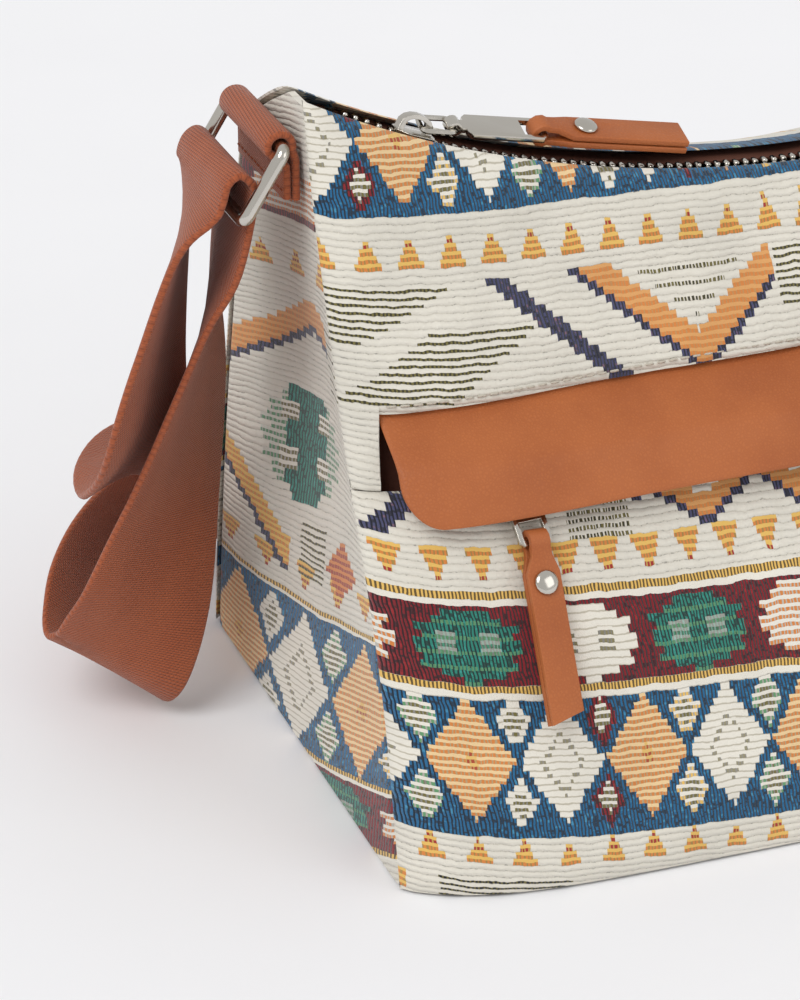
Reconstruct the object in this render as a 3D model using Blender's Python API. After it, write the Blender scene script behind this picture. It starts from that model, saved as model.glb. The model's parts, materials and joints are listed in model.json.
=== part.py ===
"""Crossbody bag of woven tapestry cloth, with a zipped top, a zipped front pocket and a webbing strap.

The bag stands on its flat base. +X runs along the front to the right, the front faces -Y, and +Z is up.
The origin is the middle of the base, on the surface that the bag stands on. All sizes are in metres.
"""

import math

import bmesh
import bpy
import numpy as np
from mathutils import Vector

# Body of the bag
WIDTH = 0.260
DEPTH = 0.152
CORNER_HEIGHT = 0.178
MIDDLE_HEIGHT = 0.148
FRONT_BELLY = 0.013
BACK_BELLY = 0.010
GUSSET_HOLLOW = 0.007
CLOTH = 0.0018
LINING = 0.0008
LINING_DROP = 0.0078
LAYER_GAP = 0.0006
SEAM_GAP = 0.0004
BASE_CLOTH = 0.0020
BASE_BOARD = 0.0020

# Front pocket and its leather flap
HEM_HEIGHT = 0.1085
POCKET_END_RISE = 0.0030
POCKET_RISE_START = 0.1090
POCKET_RISE_RUN = 0.0080
HEM_DROP_RUN = 0.0018
HEM_TO_ZIP = 0.0135
POCKET_ZIP_HEIGHT = HEM_HEIGHT - HEM_TO_ZIP
ZIP_TO_POCKET = 0.0065
POCKET_TOP = POCKET_ZIP_HEIGHT - ZIP_TO_POCKET
POCKET_ZIP_LENGTH = 0.200
POCKET_ROOM = 0.0062
POCKET_WALL_REACH = 0.1235
FLAP_WIDTH = 0.243
ZIP_TO_FLAP_EDGE = 0.0082
FLAP_EDGE = POCKET_ZIP_HEIGHT - ZIP_TO_FLAP_EDGE
FLAP_THICKNESS = 0.0017
FLAP_STAND = 0.0060
FLAP_CORNER = 0.009

# Zips
TAPE = 0.0005
TOOTH_PITCH = 0.0026
TOOTH_REACH = 0.0026
TOOTH_HEIGHT = 0.0022
ROW_GAP = 0.0012
RUN_CLEARANCE = 0.0004
ZIP_SINK = 0.0016
SLIDER_LENGTH = 0.0100
SLIDER_WIDTH = 0.0082
SLIDER_WALL = 0.0011
SLIDER_POST = 0.0005
BRIDGE_WIDTH = 0.0028
TOP_SLIDER_X = -0.1020
MOUTH_EDGE_X = -0.0990
MOUTH_RUN = 0.016
POCKET_SLIDER_X = -0.0925

# Pulls
TOP_BRIDGE_RISE = 0.0033
POCKET_BRIDGE_RISE = 0.0024
LINK_WIRE = 0.0014
LINK_LENGTH = 0.0085
LINK_WIDTH = 0.0060
PLATE_LENGTH = 0.0240
PLATE_WIDTH = 0.0086
PLATE_THICKNESS = 0.0014
EYE_BAR = 0.0016
EYE_OPENING = 0.0044
SLOT_WALL = 0.0013
TOP_PULL_LENGTH = 0.0385
POCKET_PLATE_LENGTH = 0.0230
POCKET_PULL_LENGTH = 0.0425
PULL_WIDTH = 0.0084
PULL_NECK = 0.0050
PULL_LEATHER = 0.0016
PULL_STAND = 0.0050
RIVET_CAP = 0.0060
RIVET_RISE = 0.0012
RIVET_SHANK = 0.0020
RIVET_BACK = 0.0004
PULL_SLOPE = math.radians(10.0)
PULL_ROLL = math.radians(16.0)

# Webbing and its metal
WEBBING_WIDTH = 0.037
WEBBING = 0.0020
RING_WIRE = 0.0034
RING_INSIDE_WIDTH = 0.0385
RING_INSIDE_HEIGHT = 0.0160
RING_DROP = 0.0113
RING_OUT = 0.0052
RING_TOP = Vector((-WIDTH / 2 - RING_OUT, 0.0117, CORNER_HEIGHT - RING_DROP))
RING_LEAN = math.radians(32.0)
TAB_DROP = 0.0250
TAB_FOOT = CORNER_HEIGHT - TAB_DROP
ADJUSTER_WIRE = 0.0030
ADJUSTER_LENGTH = 0.0260

# Places along the strap as (x, y, z, turn, dip)
# Turn swings the width from +Y towards +X, and dip lowers its far edge
INNER_LEG = (
    (-0.1431, 0.0132, 0.1374, 8, -8),
    (-0.1463, 0.0166, 0.1219, 19, -3),
    (-0.1496, 0.0192, 0.0974, 38, 0),
    (-0.1561, 0.0225, 0.0660, 57, 8),
    (-0.1632, 0.0225, 0.0400, 80, 20),
    (-0.1680, 0.0248, 0.0255, 98, 29),
)
FOLD_TURN = (
    (-0.1708, 0.0280, 0.0175, 106, 33),
    (-0.1722, 0.0345, 0.0145, 108, 34),
    (-0.1718, 0.0430, 0.0158, 106, 40),
    (-0.1690, 0.0560, 0.0190, 100, 54),
    (-0.1610, 0.0730, 0.0215, 92, 66),
    (-0.1475, 0.0920, 0.0220, 82, 76),
    (-0.1280, 0.1095, 0.0218, 64, 84),
    (-0.1010, 0.1232, 0.0215, 40, 88),
    (-0.0740, 0.1300, 0.0215, 20, 88),
)
OUTER_LEG = (
    (-0.1506, 0.0120, 0.1500, 6, 0),
    (-0.1545, 0.0128, 0.1400, 21, 2),
    (-0.1600, 0.0140, 0.1150, 34, 2),
    (-0.1636, 0.0175, 0.0900, 48, -4),
    (-0.1618, 0.0300, 0.0740, 52, 12),
    (-0.1560, 0.0460, 0.0620, 56, 32),
    (-0.1480, 0.0640, 0.0510, 60, 50),
    (-0.1360, 0.0840, 0.0400, 64, 66),
    (-0.1180, 0.1020, 0.0300, 58, 78),
    (-0.0950, 0.1138, 0.0240, 40, 85),
    (-0.0720, 0.1212, 0.0220, 20, 88),
)
ADJUSTER_CENTRE = Vector((-0.0400, 0.1350, 0.0238))
ADJUSTER_TURN = (10, 88)
ADJUSTER_RUN = (0.98, 0.17, 0.0)
BACK_RUN = (
    (-0.0060, 0.1375, 0.0220, 4, 88),
    (0.0400, 0.1385, 0.0212, -4, 88),
    (0.0850, 0.1280, 0.0270, -16, 80),
    (0.1200, 0.1085, 0.0440, -26, 62),
    (0.1420, 0.0820, 0.0720, -28, 38),
    (0.1510, 0.0480, 0.1010, -18, 14),
)

HALF_WIDTH = WIDTH / 2
HALF_DEPTH = DEPTH / 2

# Seam lines between gusset and panels: share of the corner height, and share of half the depth
FRONT_SEAM = (
    (0.00, 1.00), (0.13, 0.925), (0.24, 0.855), (0.34, 0.765), (0.41, 0.685),
    (0.56, 0.500), (0.72, 0.345), (0.86, 0.215), (1.00, 0.120),
)
BACK_SEAM = (
    (0.00, 1.00), (0.20, 0.935), (0.40, 0.845), (0.58, 0.740), (0.76, 0.630),
    (0.86, 0.560), (0.92, 0.455), (0.96, 0.300), (1.00, 0.110),
)
PANEL_ROWS = (
    0.0, 0.10, 0.20, 0.30, 0.40, 0.50, 0.60, 0.68, 0.76, 0.82, 0.86, 0.89, 0.92, 0.94, 0.96, 0.98, 1.0,
)
EDGE_SHARES = (0.0, 0.28, 0.52, 0.70, 0.80, 0.87, 0.92, 0.94, 0.952, 0.985, 1.0)


def smooth(points, s):
    """Value at s on a cubic through the (s, value) points."""
    xs = [p[0] for p in points]
    ys = [p[1] for p in points]
    k = min(max(np.searchsorted(xs, s) - 1, 0), len(xs) - 2)
    slopes = np.gradient(ys, xs)
    width = xs[k + 1] - xs[k]
    t = (s - xs[k]) / width
    a = 2 * t**3 - 3 * t**2 + 1
    b = t**3 - 2 * t**2 + t
    c = -2 * t**3 + 3 * t**2
    d = t**3 - t**2
    return float(a * ys[k] + b * width * slopes[k] + c * ys[k + 1] + d * width * slopes[k + 1])


def blend(t):
    """Smooth step from 0 to 1."""
    t = min(max(t, 0.0), 1.0)
    return t * t * (3 - 2 * t)


RIDGE_DROP = CORNER_HEIGHT - MIDDLE_HEIGHT
RIDGE_RADIUS = (HALF_WIDTH**2 + RIDGE_DROP**2) / (2 * RIDGE_DROP)
RIDGE_CENTRE_Z = MIDDLE_HEIGHT + RIDGE_RADIUS


def ridge_z(x):
    """Height of the bag's top edge, which sags in an arc between its corners."""
    return RIDGE_CENTRE_Z - math.sqrt(RIDGE_RADIUS**2 - x * x)


def pocket_top(x):
    """Height of the pocket panel's top edge, which rises past the ends of the zip."""
    return POCKET_TOP + POCKET_END_RISE * blend((abs(x) - POCKET_RISE_START) / POCKET_RISE_RUN)


def hem_z(x):
    """Height of the front panel's hem, which drops to the pocket panel past the ends of the flap."""
    closed = pocket_top(HALF_WIDTH) + SEAM_GAP
    return HEM_HEIGHT + (closed - HEM_HEIGHT) * blend((abs(x) - FLAP_WIDTH / 2 - SEAM_GAP) / HEM_DROP_RUN)


def belly(x):
    """Share of the panels' swell at x, nothing at the seams."""
    return 1 - min(1.0, abs(x) / HALF_WIDTH) ** 8


def front_y(x, z):
    """Outer face of the front."""
    s = min(z / ridge_z(x), 1.0)
    swell = FRONT_BELLY * (1 - 0.77 * s**3)
    return -HALF_DEPTH * smooth(FRONT_SEAM, s) - swell * belly(x)


def back_y(x, z):
    """Outer face of the back."""
    s = min(z / ridge_z(x), 1.0)
    swell = BACK_BELLY * (1 - 1.15 * s**3)
    return HALF_DEPTH * smooth(BACK_SEAM, s) + swell * belly(x)


def gusset_x(t, z):
    """Half width at the gusset's outer face, t from the front seam to the back seam."""
    s = z / CORNER_HEIGHT
    return HALF_WIDTH - GUSSET_HOLLOW * math.sin(math.pi * t) * math.sin(math.pi * min(1.0, s)) ** 2


def lean(face, x, z):
    """How much further a depth reaches along Y where the face leans over."""
    z = min(z, ridge_z(x) - 0.001)
    slope = (face(x, z + 0.001) - face(x, z - 0.001)) / 0.002
    return min(math.sqrt(1 + slope**2), 2.4)


def front_in(x, z, depth):
    """Y of a layer at a depth behind the front's outer face."""
    return front_y(x, z) + depth * lean(front_y, x, z)


def back_in(x, z, depth):
    """Y of a layer at a depth inside the back's outer face."""
    return back_y(x, z) - depth * lean(back_y, x, z)


def room(z):
    """Depth from the front's outer face to the main wall behind the pocket."""
    deep = CLOTH + POCKET_ROOM
    slim = CLOTH + 2 * LAYER_GAP + TAPE
    return slim + (deep - slim) * (1 - blend((z - HEM_HEIGHT - 0.006) / 0.020))


def edge_stations():
    """Places across the width, closer together near the corners."""
    half = [HALF_WIDTH * s for s in EDGE_SHARES]
    return [-x for x in reversed(half)] + half[1:]


STATIONS = edge_stations()


def material(name, colour, roughness, metallic=0.0):
    """Plain Principled material."""
    m = bpy.data.materials.new(name)
    m.use_nodes = True
    bsdf = m.node_tree.nodes["Principled BSDF"]
    bsdf.inputs["Base Color"].default_value = (*colour, 1.0)
    bsdf.inputs["Roughness"].default_value = roughness
    bsdf.inputs["Metallic"].default_value = metallic
    return m


def make(name, verts, faces, mat, origin=None, smooth_angle=35.0):
    """Object from points and faces, its normals outward, with its origin at the given point."""
    mesh = bpy.data.meshes.new(name)
    start = Vector(origin) if origin is not None else Vector((0, 0, 0))
    mesh.from_pydata([tuple(Vector(v) - start) for v in verts], [], faces)
    bm = bmesh.new()
    bm.from_mesh(mesh)
    bmesh.ops.recalc_face_normals(bm, faces=bm.faces)
    bm.to_mesh(mesh)
    bm.free()
    mesh.materials.append(mat)
    mesh.shade_smooth()
    mesh.set_sharp_from_angle(angle=math.radians(smooth_angle))
    obj = bpy.data.objects.new(name, mesh)
    obj.location = start
    bpy.context.scene.collection.objects.link(obj)
    return obj


def slab(name, outer, inner, us, vs, mat, origin=None):
    """Closed sheet between two surfaces, each a function of u and v."""
    n, m = len(us), len(vs)
    verts = [outer(u, v) for v in vs for u in us] + [inner(u, v) for v in vs for u in us]
    faces = []
    side = n * m

    def at(i, j, layer):
        return layer * side + j * n + i

    for j in range(m - 1):
        for i in range(n - 1):
            quad = [at(i, j, 0), at(i + 1, j, 0), at(i + 1, j + 1, 0), at(i, j + 1, 0)]
            faces.append(quad)
            faces.append([side + k for k in reversed(quad)])
    for i in range(n - 1):
        faces.append([at(i, 0, 0), at(i, 0, 1), at(i + 1, 0, 1), at(i + 1, 0, 0)])
        faces.append([at(i, m - 1, 0), at(i + 1, m - 1, 0), at(i + 1, m - 1, 1), at(i, m - 1, 1)])
    for j in range(m - 1):
        faces.append([at(0, j, 0), at(0, j + 1, 0), at(0, j + 1, 1), at(0, j, 1)])
        faces.append([at(n - 1, j, 0), at(n - 1, j, 1), at(n - 1, j + 1, 1), at(n - 1, j + 1, 0)])
    return make(name, verts, faces, mat, origin)


def steps(lo, hi, n):
    """n + 1 even steps from lo to hi."""
    return [lo + (hi - lo) * k / n for k in range(n + 1)]


def sweep(name, sections, mat, closed=False, origin=None):
    """Solid through a list of sections with the same number of points."""
    n = len(sections[0])
    verts = [p for section in sections for p in section]
    faces = []
    count = len(sections)
    for k in range(count if closed else count - 1):
        a, b = k * n, ((k + 1) % count) * n
        for i in range(n):
            j = (i + 1) % n
            faces.append([a + i, a + j, b + j, b + i])
    if not closed:
        faces.append(list(range(n)))
        faces.append([(count - 1) * n + i for i in reversed(range(n))])
    return make(name, verts, faces, mat, origin)


def extrude(name, outline, place, low, high, mat, origin=None):
    """Prism from a flat outline, where place(a, b, h) puts outline point (a, b) at height h."""
    sections = [[place(a, b, h) for a, b in outline] for h in (low, high)]
    return sweep(name, sections, mat, origin=origin)


def cut(obj, cutter, operation="DIFFERENCE"):
    """Boolean with a cutter, which stays in the scene as a guide."""
    cutter.hide_render = True
    cutter.display_type = "WIRE"
    mod = obj.modifiers.new(cutter.name, "BOOLEAN")
    mod.operation = operation
    mod.object = cutter
    mod.solver = "EXACT"


def rod_loop(name, centre, across, along, half_a, half_b, radius, corner, mat, origin=None, sides=8):
    """Closed wire rectangle with round corners; half_a and half_b reach to the wire's middle line."""
    across, along = Vector(across).normalized(), Vector(along).normalized()
    normal = across.cross(along)
    path = []
    for sa, sb, start in ((1, 1, 0), (-1, 1, 90), (-1, -1, 180), (1, -1, 270)):
        for k in range(5):
            angle = math.radians(start + 90 * k / 4)
            a = sa * (half_a - corner) + corner * math.cos(angle)
            b = sb * (half_b - corner) + corner * math.sin(angle)
            path.append((a, b, angle))
    sections = []
    for a, b, angle in path:
        out = across * math.cos(angle) + along * math.sin(angle)
        middle = Vector(centre) + across * a + along * b
        turns = steps(0, 2 * math.pi, sides)[:-1]
        sections.append([middle + (out * math.cos(t) + normal * math.sin(t)) * radius for t in turns])
    return sweep(name, sections, mat, closed=True, origin=origin)


def width_way(turn, dip):
    """Direction of the webbing's width."""
    b, g = math.radians(turn), math.radians(dip)
    return Vector((math.sin(b) * math.cos(g), math.cos(b) * math.cos(g), -math.sin(g)))


def ribbon_sections(path, ways, width, thick):
    """Rectangular sections along a path, with the width's direction at each point."""
    sections = []
    for k, (p, w) in enumerate(zip(path, ways)):
        t = (path[min(k + 1, len(path) - 1)] - path[max(k - 1, 0)]).normalized()
        w = (w - t * w.dot(t)).normalized()
        n = t.cross(w).normalized()
        sections.append([
            p - w * width / 2 - n * thick / 2, p + w * width / 2 - n * thick / 2,
            p + w * width / 2 + n * thick / 2, p - w * width / 2 + n * thick / 2,
        ])
    return sections


def make_materials():
    """The bag's finishes."""
    return {
        "tapestry": material("tapestry", (0.78, 0.73, 0.63), 0.95),
        "lining": material("lining", (0.13, 0.05, 0.03), 0.9),
        "leather": material("leather", (0.46, 0.16, 0.05), 0.5),
        "webbing": material("webbing", (0.36, 0.11, 0.05), 0.85),
        "nickel": material("nickel", (0.75, 0.73, 0.68), 0.15, 1.0),
        "tape": material("zip_tape", (0.22, 0.10, 0.05), 0.85),
        "board": material("board", (0.30, 0.26, 0.20), 0.8),
    }


def make_panels(mats):
    """Cloth panels, the wall behind the pocket, the base and its board."""
    cloth = mats["tapestry"]
    foot = BASE_CLOTH + SEAM_GAP

    def panel(name, layer, low, high, depth, thick, mat, stations=STATIONS, rows=PANEL_ROWS):
        def place(x, v, extra):
            z = low(x) + (high(x) - low(x)) * v
            return (x, layer(x, z, depth(z) + extra), z)
        slab(name, lambda x, v: place(x, v, 0), lambda x, v: place(x, v, thick), stations, rows, mat)

    def on_face(z):
        return 0.0

    def at_foot(x):
        return foot

    panel("front_panel", front_in, hem_z, ridge_z, on_face, CLOTH, cloth, rows=steps(0, 1, 8))
    panel("pocket_panel", front_in, at_foot, pocket_top, on_face, CLOTH, cloth, rows=steps(0, 1, 12))
    panel("back_panel", back_in, at_foot, ridge_z, on_face, CLOTH, cloth)
    inside = [x for x in STATIONS if abs(x) < POCKET_WALL_REACH - 0.002]
    wall = [-POCKET_WALL_REACH] + inside + [POCKET_WALL_REACH]
    panel("pocket_wall", front_in, at_foot, lambda x: HEM_HEIGHT + 0.004, room, LINING, mats["lining"], wall,
          steps(0, 1, 12))

    def gusset(name, side):
        def place(t, s, inward):
            z = foot + (CORNER_HEIGHT - foot) * s
            edge = side * (HALF_WIDTH - 1e-5)
            near = front_in(edge, z, CLOTH + SEAM_GAP)
            inset = HALF_WIDTH - CLOTH - 0.0003
            far = min(back_in(edge, z, CLOTH + SEAM_GAP), back_in(inset, z, CLOTH + SEAM_GAP))
            return (side * (gusset_x(t, z) - inward), near + (far - near) * t, z)
        rows = list(PANEL_ROWS[:-1]) + [0.992]
        slab(name, lambda t, s: place(t, s, 0), lambda t, s: place(t, s, CLOTH), steps(0, 1, 8), rows, cloth)

    gusset("left_gusset", -1)
    gusset("right_gusset", 1)

    def outline(side_inset, front_inset, back_inset):
        reach_x = HALF_WIDTH - side_inset
        xs = [-reach_x] + [x for x in STATIONS if abs(x) < reach_x - 0.001] + [reach_x]
        front = [(x, front_y(x, 0) + front_inset) for x in xs]
        back = [(x, back_y(x, 0) - back_inset) for x in reversed(xs)]
        return front + back

    def upright(a, b, h):
        return (a, b, h)

    extrude("base_panel", outline(0, 0, 0), upright, 0, BASE_CLOTH, cloth)
    behind = CLOTH + POCKET_ROOM + LINING + 0.0050
    extrude("base_board", outline(0.0065, behind, 0.0035), upright, foot, foot + BASE_BOARD, mats["board"])


def lining_depth(z):
    """Depth from the front's outer face to the lining."""
    return room(z) + LINING + LAYER_GAP


def make_lining(mats):
    """Lining of the main compartment, one sewn bag open along the zip."""
    floor = BASE_CLOTH + SEAM_GAP + BASE_BOARD + LAYER_GAP
    side_ts = steps(0, 1, 6)[1:-1]
    xs = [x for x in STATIONS if abs(x) < HALF_WIDTH * 0.93]
    behind = CLOTH + 2 * LAYER_GAP + TAPE

    def ring(share, inset, lift):
        front, back = [], []
        for x in xs:
            z = lift + (ridge_z(x) - LINING_DROP - lift) * share
            front.append((x, front_in(x, z, lining_depth(z) + inset), z))
            back.append((x, back_in(x, z, behind + inset), z))
        z = lift + (CORNER_HEIGHT - LINING_DROP - lift) * share
        near = front_in(HALF_WIDTH, z, lining_depth(z) + inset)
        far = back_in(HALF_WIDTH, z, behind + inset)
        side = []
        for t in side_ts:
            y = near + (far - near) * t
            start, end = front_in(HALF_WIDTH, z, CLOTH), back_in(HALF_WIDTH, z, CLOTH)
            along = min(max((y - start) / (end - start), 0), 1)
            side.append((gusset_x(along, z) - CLOTH - 2 * LAYER_GAP - inset, y, z))
        return front + side + list(reversed(back)) + [(-x, y, h) for x, y, h in reversed(side)]

    shares = PANEL_ROWS
    outer = [ring(s, 0.0, floor) for s in shares]
    inner = [ring(s, LINING, floor + LINING) for s in shares]
    n = len(outer[0])
    verts = [p for r in outer for p in r] + [p for r in inner for p in r]
    shift = n * len(shares)
    faces = []
    for k in range(len(shares) - 1):
        for i in range(n):
            j = (i + 1) % n
            quad = [k * n + i, k * n + j, (k + 1) * n + j, (k + 1) * n + i]
            faces.append(quad)
            faces.append([shift + q for q in reversed(quad)])
    last = (len(shares) - 1) * n
    for i in range(n):
        j = (i + 1) % n
        faces.append([last + i, last + j, shift + last + j, shift + last + i])
    faces.append(list(reversed(range(n))))
    faces.append([shift + i for i in range(n)])
    make("lining", verts, faces, mats["lining"])


def open_share(x):
    """How far the zip's rows have parted at x: 0 where it is closed, 1 at the open corner."""
    return blend((MOUTH_EDGE_X - x) / MOUTH_RUN)


def row_edge(x, side):
    """Y of the tip of a row of teeth of the top zip, side -1 for the front row."""
    closed = zip_middle_y() + side * ROW_GAP / 2
    z = ridge_z(x) - ZIP_SINK - TOOTH_HEIGHT / 2
    edge = front_in(x, z, CLOTH) if side < 0 else back_in(x, z, CLOTH)
    parted = edge - side * (TOOTH_REACH + 0.0036)
    return closed + (parted - closed) * open_share(x)


def zip_middle_y():
    """Middle line of the closed top zip."""
    z = ridge_z(0)
    return (front_in(0, z, CLOTH) + back_in(0, z, CLOTH)) / 2


def tooth_bar(name, reach, place, low, high, mat):
    """Row of teeth on one strip: place(s, across, up) puts a point, across 0 at the tips."""
    count = int((high - low) / TOOTH_PITCH)
    spine = TOOTH_REACH * 0.55
    sections = []
    for k in range(count):
        start = low + k * TOOTH_PITCH
        for share, tip in ((0.0, spine), (0.12, 0.0), (0.50, 0.0), (0.62, spine)):
            s = start + share * TOOTH_PITCH
            sections.append([
                place(s, tip, 0.0), place(s, reach, 0.0),
                place(s, reach, TOOTH_HEIGHT), place(s, tip, TOOTH_HEIGHT),
            ])
    return sweep(name, sections, mat)


def make_top_zip(mats):
    """Tapes, teeth and end stops of the top zip."""
    end = HALF_WIDTH - 0.009
    xs = [x for x in STATIONS if abs(x) < end - 0.003]
    parting = [MOUTH_EDGE_X - MOUTH_RUN * share for share in (0, 0.5, 0.8)]
    xs = sorted(set([-end, end] + parting + xs))
    for label, side in (("front", -1), ("back", 1)):
        def wall_y(x, z, s=side):
            return front_in(x, z, CLOTH + LAYER_GAP) if s < 0 else back_in(x, z, CLOTH + LAYER_GAP)

        def across(x, v, under, s=side):
            top = ridge_z(x) - ZIP_SINK - TOOTH_HEIGHT / 2
            tip = row_edge(x, s) + s * (TOOTH_REACH + RUN_CLEARANCE)
            if v <= 1:
                wall = wall_y(x, top, s) - s * (TAPE if under else 0.0)
                return (x, tip + (wall - tip) * v, top - (TAPE if under else 0.0))
            z = top - (v - 1) * 0.009
            return (x, wall_y(x, z, s) - s * (TAPE if under else 0.0), z)

        slab(
            "top_zip_tape_" + label,
            lambda x, v, f=across: f(x, v, False), lambda x, v, f=across: f(x, v, True),
            xs, (0, 1, 1.5, 2), mats["tape"],
        )

        def tooth(x, tip, up, s=side):
            reach_y = row_edge(x, s) + s * tip
            return (x, reach_y, ridge_z(x) - ZIP_SINK - TOOTH_HEIGHT + up)

        tooth_bar("top_zip_teeth_" + label, TOOTH_REACH, tooth, -end + 0.003, end - 0.004, mats["nickel"])


def local_frame(origin, along, out):
    """Function that places (a, b, c) along, across and out from an origin."""
    along, out = Vector(along).normalized(), Vector(out).normalized()
    across = out.cross(along)
    start = Vector(origin)
    return lambda a, b, c: start + along * a + across * b + out * c


def slider(name, frame, rise, crossways, mat, origin):
    """Zip slider: two plates joined by a post at its open end, and a bridge over the top plate."""
    half = SLIDER_LENGTH / 2
    width = SLIDER_WIDTH / 2
    inside = TOOTH_HEIGHT / 2 + RUN_CLEARANCE
    top = inside + SLIDER_WALL
    plate = [(half * 0.9, width), (half, width * 0.6), (half, -width * 0.6), (half * 0.9, -width),
             (-half * 0.5, -width), (-half, -width * 0.45), (-half, width * 0.45), (-half * 0.5, width)]
    body = extrude(name, plate, frame, inside, top, mat, origin)
    lower = extrude(name + "_lower", plate, frame, -top, -inside, mat, origin)
    post = [(-half + 0.0020, SLIDER_POST / 2), (-half + 0.0020, -SLIDER_POST / 2),
            (-half + 0.0004, -SLIDER_POST / 2), (-half + 0.0004, SLIDER_POST / 2)]
    post_reach = inside + SLIDER_WALL / 2
    neck = extrude(name + "_post", post, frame, -post_reach, post_reach, mat, origin)
    span = width if crossways else half
    foot = top - SLIDER_WALL / 2
    outer, inner = [], []
    for k in range(1, 8):
        angle = math.pi * k / 8
        outer.append((span * 0.92 * math.cos(angle), top + (rise + SLIDER_WALL) * math.sin(angle) ** 0.7))
        inner.append((span * 0.62 * math.cos(angle), top + rise * math.sin(angle) ** 0.5))
    outline = [(span * 0.92, foot)] + outer + [(-span * 0.92, foot), (-span * 0.62, foot)]
    outline += list(reversed(inner)) + [(span * 0.62, foot)]

    def over(a, c, b):
        return frame(b, a, c) if crossways else frame(a, b, c)

    bridge = extrude(name + "_bridge", outline, over, -BRIDGE_WIDTH / 2, BRIDGE_WIDTH / 2, mat, origin)
    for other in (lower, neck, bridge):
        cut(body, other, "UNION")
    return body


def flat_plate(name, frame, start, length, mat, origin):
    """Flat pull plate with round corners, with a slot for the leather at its far end."""
    half = PLATE_WIDTH / 2
    r = 0.0012
    outline = [(start, half - r), (start + r, half), (length - r, half), (length, half - r),
               (length, r - half), (length - r, -half), (start + r, -half), (start, r - half)]
    plate = extrude(name, outline, frame, -PLATE_THICKNESS / 2, PLATE_THICKNESS / 2, mat, origin)
    slot(plate, frame, length - EYE_BAR - EYE_OPENING, length - EYE_BAR, origin)
    return plate


def slot(plate, frame, low, high, origin):
    """Cuts a rectangular slot across a pull plate."""
    reach = PLATE_WIDTH / 2 - SLOT_WALL
    box = [(low, reach), (high, reach), (high, -reach), (low, -reach)]
    name = plate.name + "_slot_" + str(len(plate.modifiers))
    deep = PLATE_THICKNESS * 2
    cut(plate, extrude(name, box, frame, -deep, deep, plate.data.materials[0], origin))


def eye_tube(name, frame, hole, wall, half, mat, origin, bore=False):
    """Round bar or bore along the frame's across way."""
    r = hole if bore else hole + wall
    ring = [(r * math.cos(t), r * math.sin(t)) for t in steps(0, 2 * math.pi, 16)[:-1]]
    return extrude(name, ring, lambda a, c, b: frame(a, b, c), -half, half, mat, origin)


def leather_pull(name, frame, length, mat, origin, slant=0.0):
    """Leather strip folded round a bar at a = 0, both ends together at a = length."""
    core = EYE_BAR / 2 * math.sqrt(2) + RUN_CLEARANCE + PULL_LEATHER / 2
    flat = PULL_LEATHER / 2 + 0.0002
    side = [(a, flat) for a in steps(length, 0.012, 6)] + [(0.0075, flat), (0.0035, core * 0.75)]
    bend = [(core * math.cos(t), core * math.sin(t)) for t in steps(math.radians(50), math.radians(310), 8)]
    line = side + bend + [(a, -c) for a, c in reversed(side)]
    sections = []
    for k, (a, c) in enumerate(line):
        a0, c0 = line[max(k - 1, 0)]
        a1, c1 = line[min(k + 1, len(line) - 1)]
        norm = math.hypot(a1 - a0, c1 - c0)
        na, nc = (c1 - c0) / norm * PULL_LEATHER / 2, -(a1 - a0) / norm * PULL_LEATHER / 2
        reach = (PULL_NECK + (PULL_WIDTH - PULL_NECK) * blend((a - 0.0030) / 0.0035)) / 2
        shear = slant * blend((a - length * 0.7) / (length * 0.3))
        sections.append([
            frame(a + na - shear, reach, c + nc), frame(a + na + shear, -reach, c + nc),
            frame(a - na + shear, -reach, c - nc), frame(a - na - shear, reach, c - nc),
        ])
    strip = sweep(name, sections, mat, origin=origin)
    return strip


def rivet(name, frame, at, leather, mat, origin):
    """Domed rivet through both layers: a shank, a domed cap and a flat back."""
    outside = PULL_LEATHER + 0.0002 + 0.0003
    r = RIVET_CAP / 2
    back = -outside - RIVET_BACK
    profile = [(0.0, back), (r * 0.8, back), (r * 0.8, -outside),
               (RIVET_SHANK / 2, -outside), (RIVET_SHANK / 2, outside), (r, outside)]
    for t in steps(0, math.pi / 2, 4):
        profile.append((r * math.cos(t), outside + 0.0003 + (RIVET_RISE - 0.0003) * math.sin(t)))
    profile[-1] = (0.0, profile[-1][1])
    sides = 16
    verts, faces, rings = [], [], []
    for radius, c in profile:
        if radius == 0.0:
            rings.append([len(verts)])
            verts.append(frame(at, 0.0, c))
            continue
        start = len(verts)
        verts += [
            frame(at + radius * math.cos(t), radius * math.sin(t), c)
            for t in steps(0, 2 * math.pi, sides)[:-1]
        ]
        rings.append(list(range(start, start + sides)))
    for low, high in zip(rings, rings[1:]):
        for k in range(sides):
            j = (k + 1) % sides
            if len(low) == 1:
                faces.append([low[0], high[j], high[k]])
            elif len(high) == 1:
                faces.append([low[k], low[j], high[0]])
            else:
                faces.append([low[k], low[j], high[j], high[k]])
    obj = make(name, verts, faces, mat, origin)
    hole_r = RIVET_SHANK / 2 + 0.0003
    hole = [(at + hole_r * math.cos(t), hole_r * math.sin(t)) for t in steps(0, 2 * math.pi, 12)[:-1]]
    cutter = extrude(name + "_hole", hole, frame, -0.004, 0.004, mat, origin)
    cut(leather, cutter)
    return obj


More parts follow.
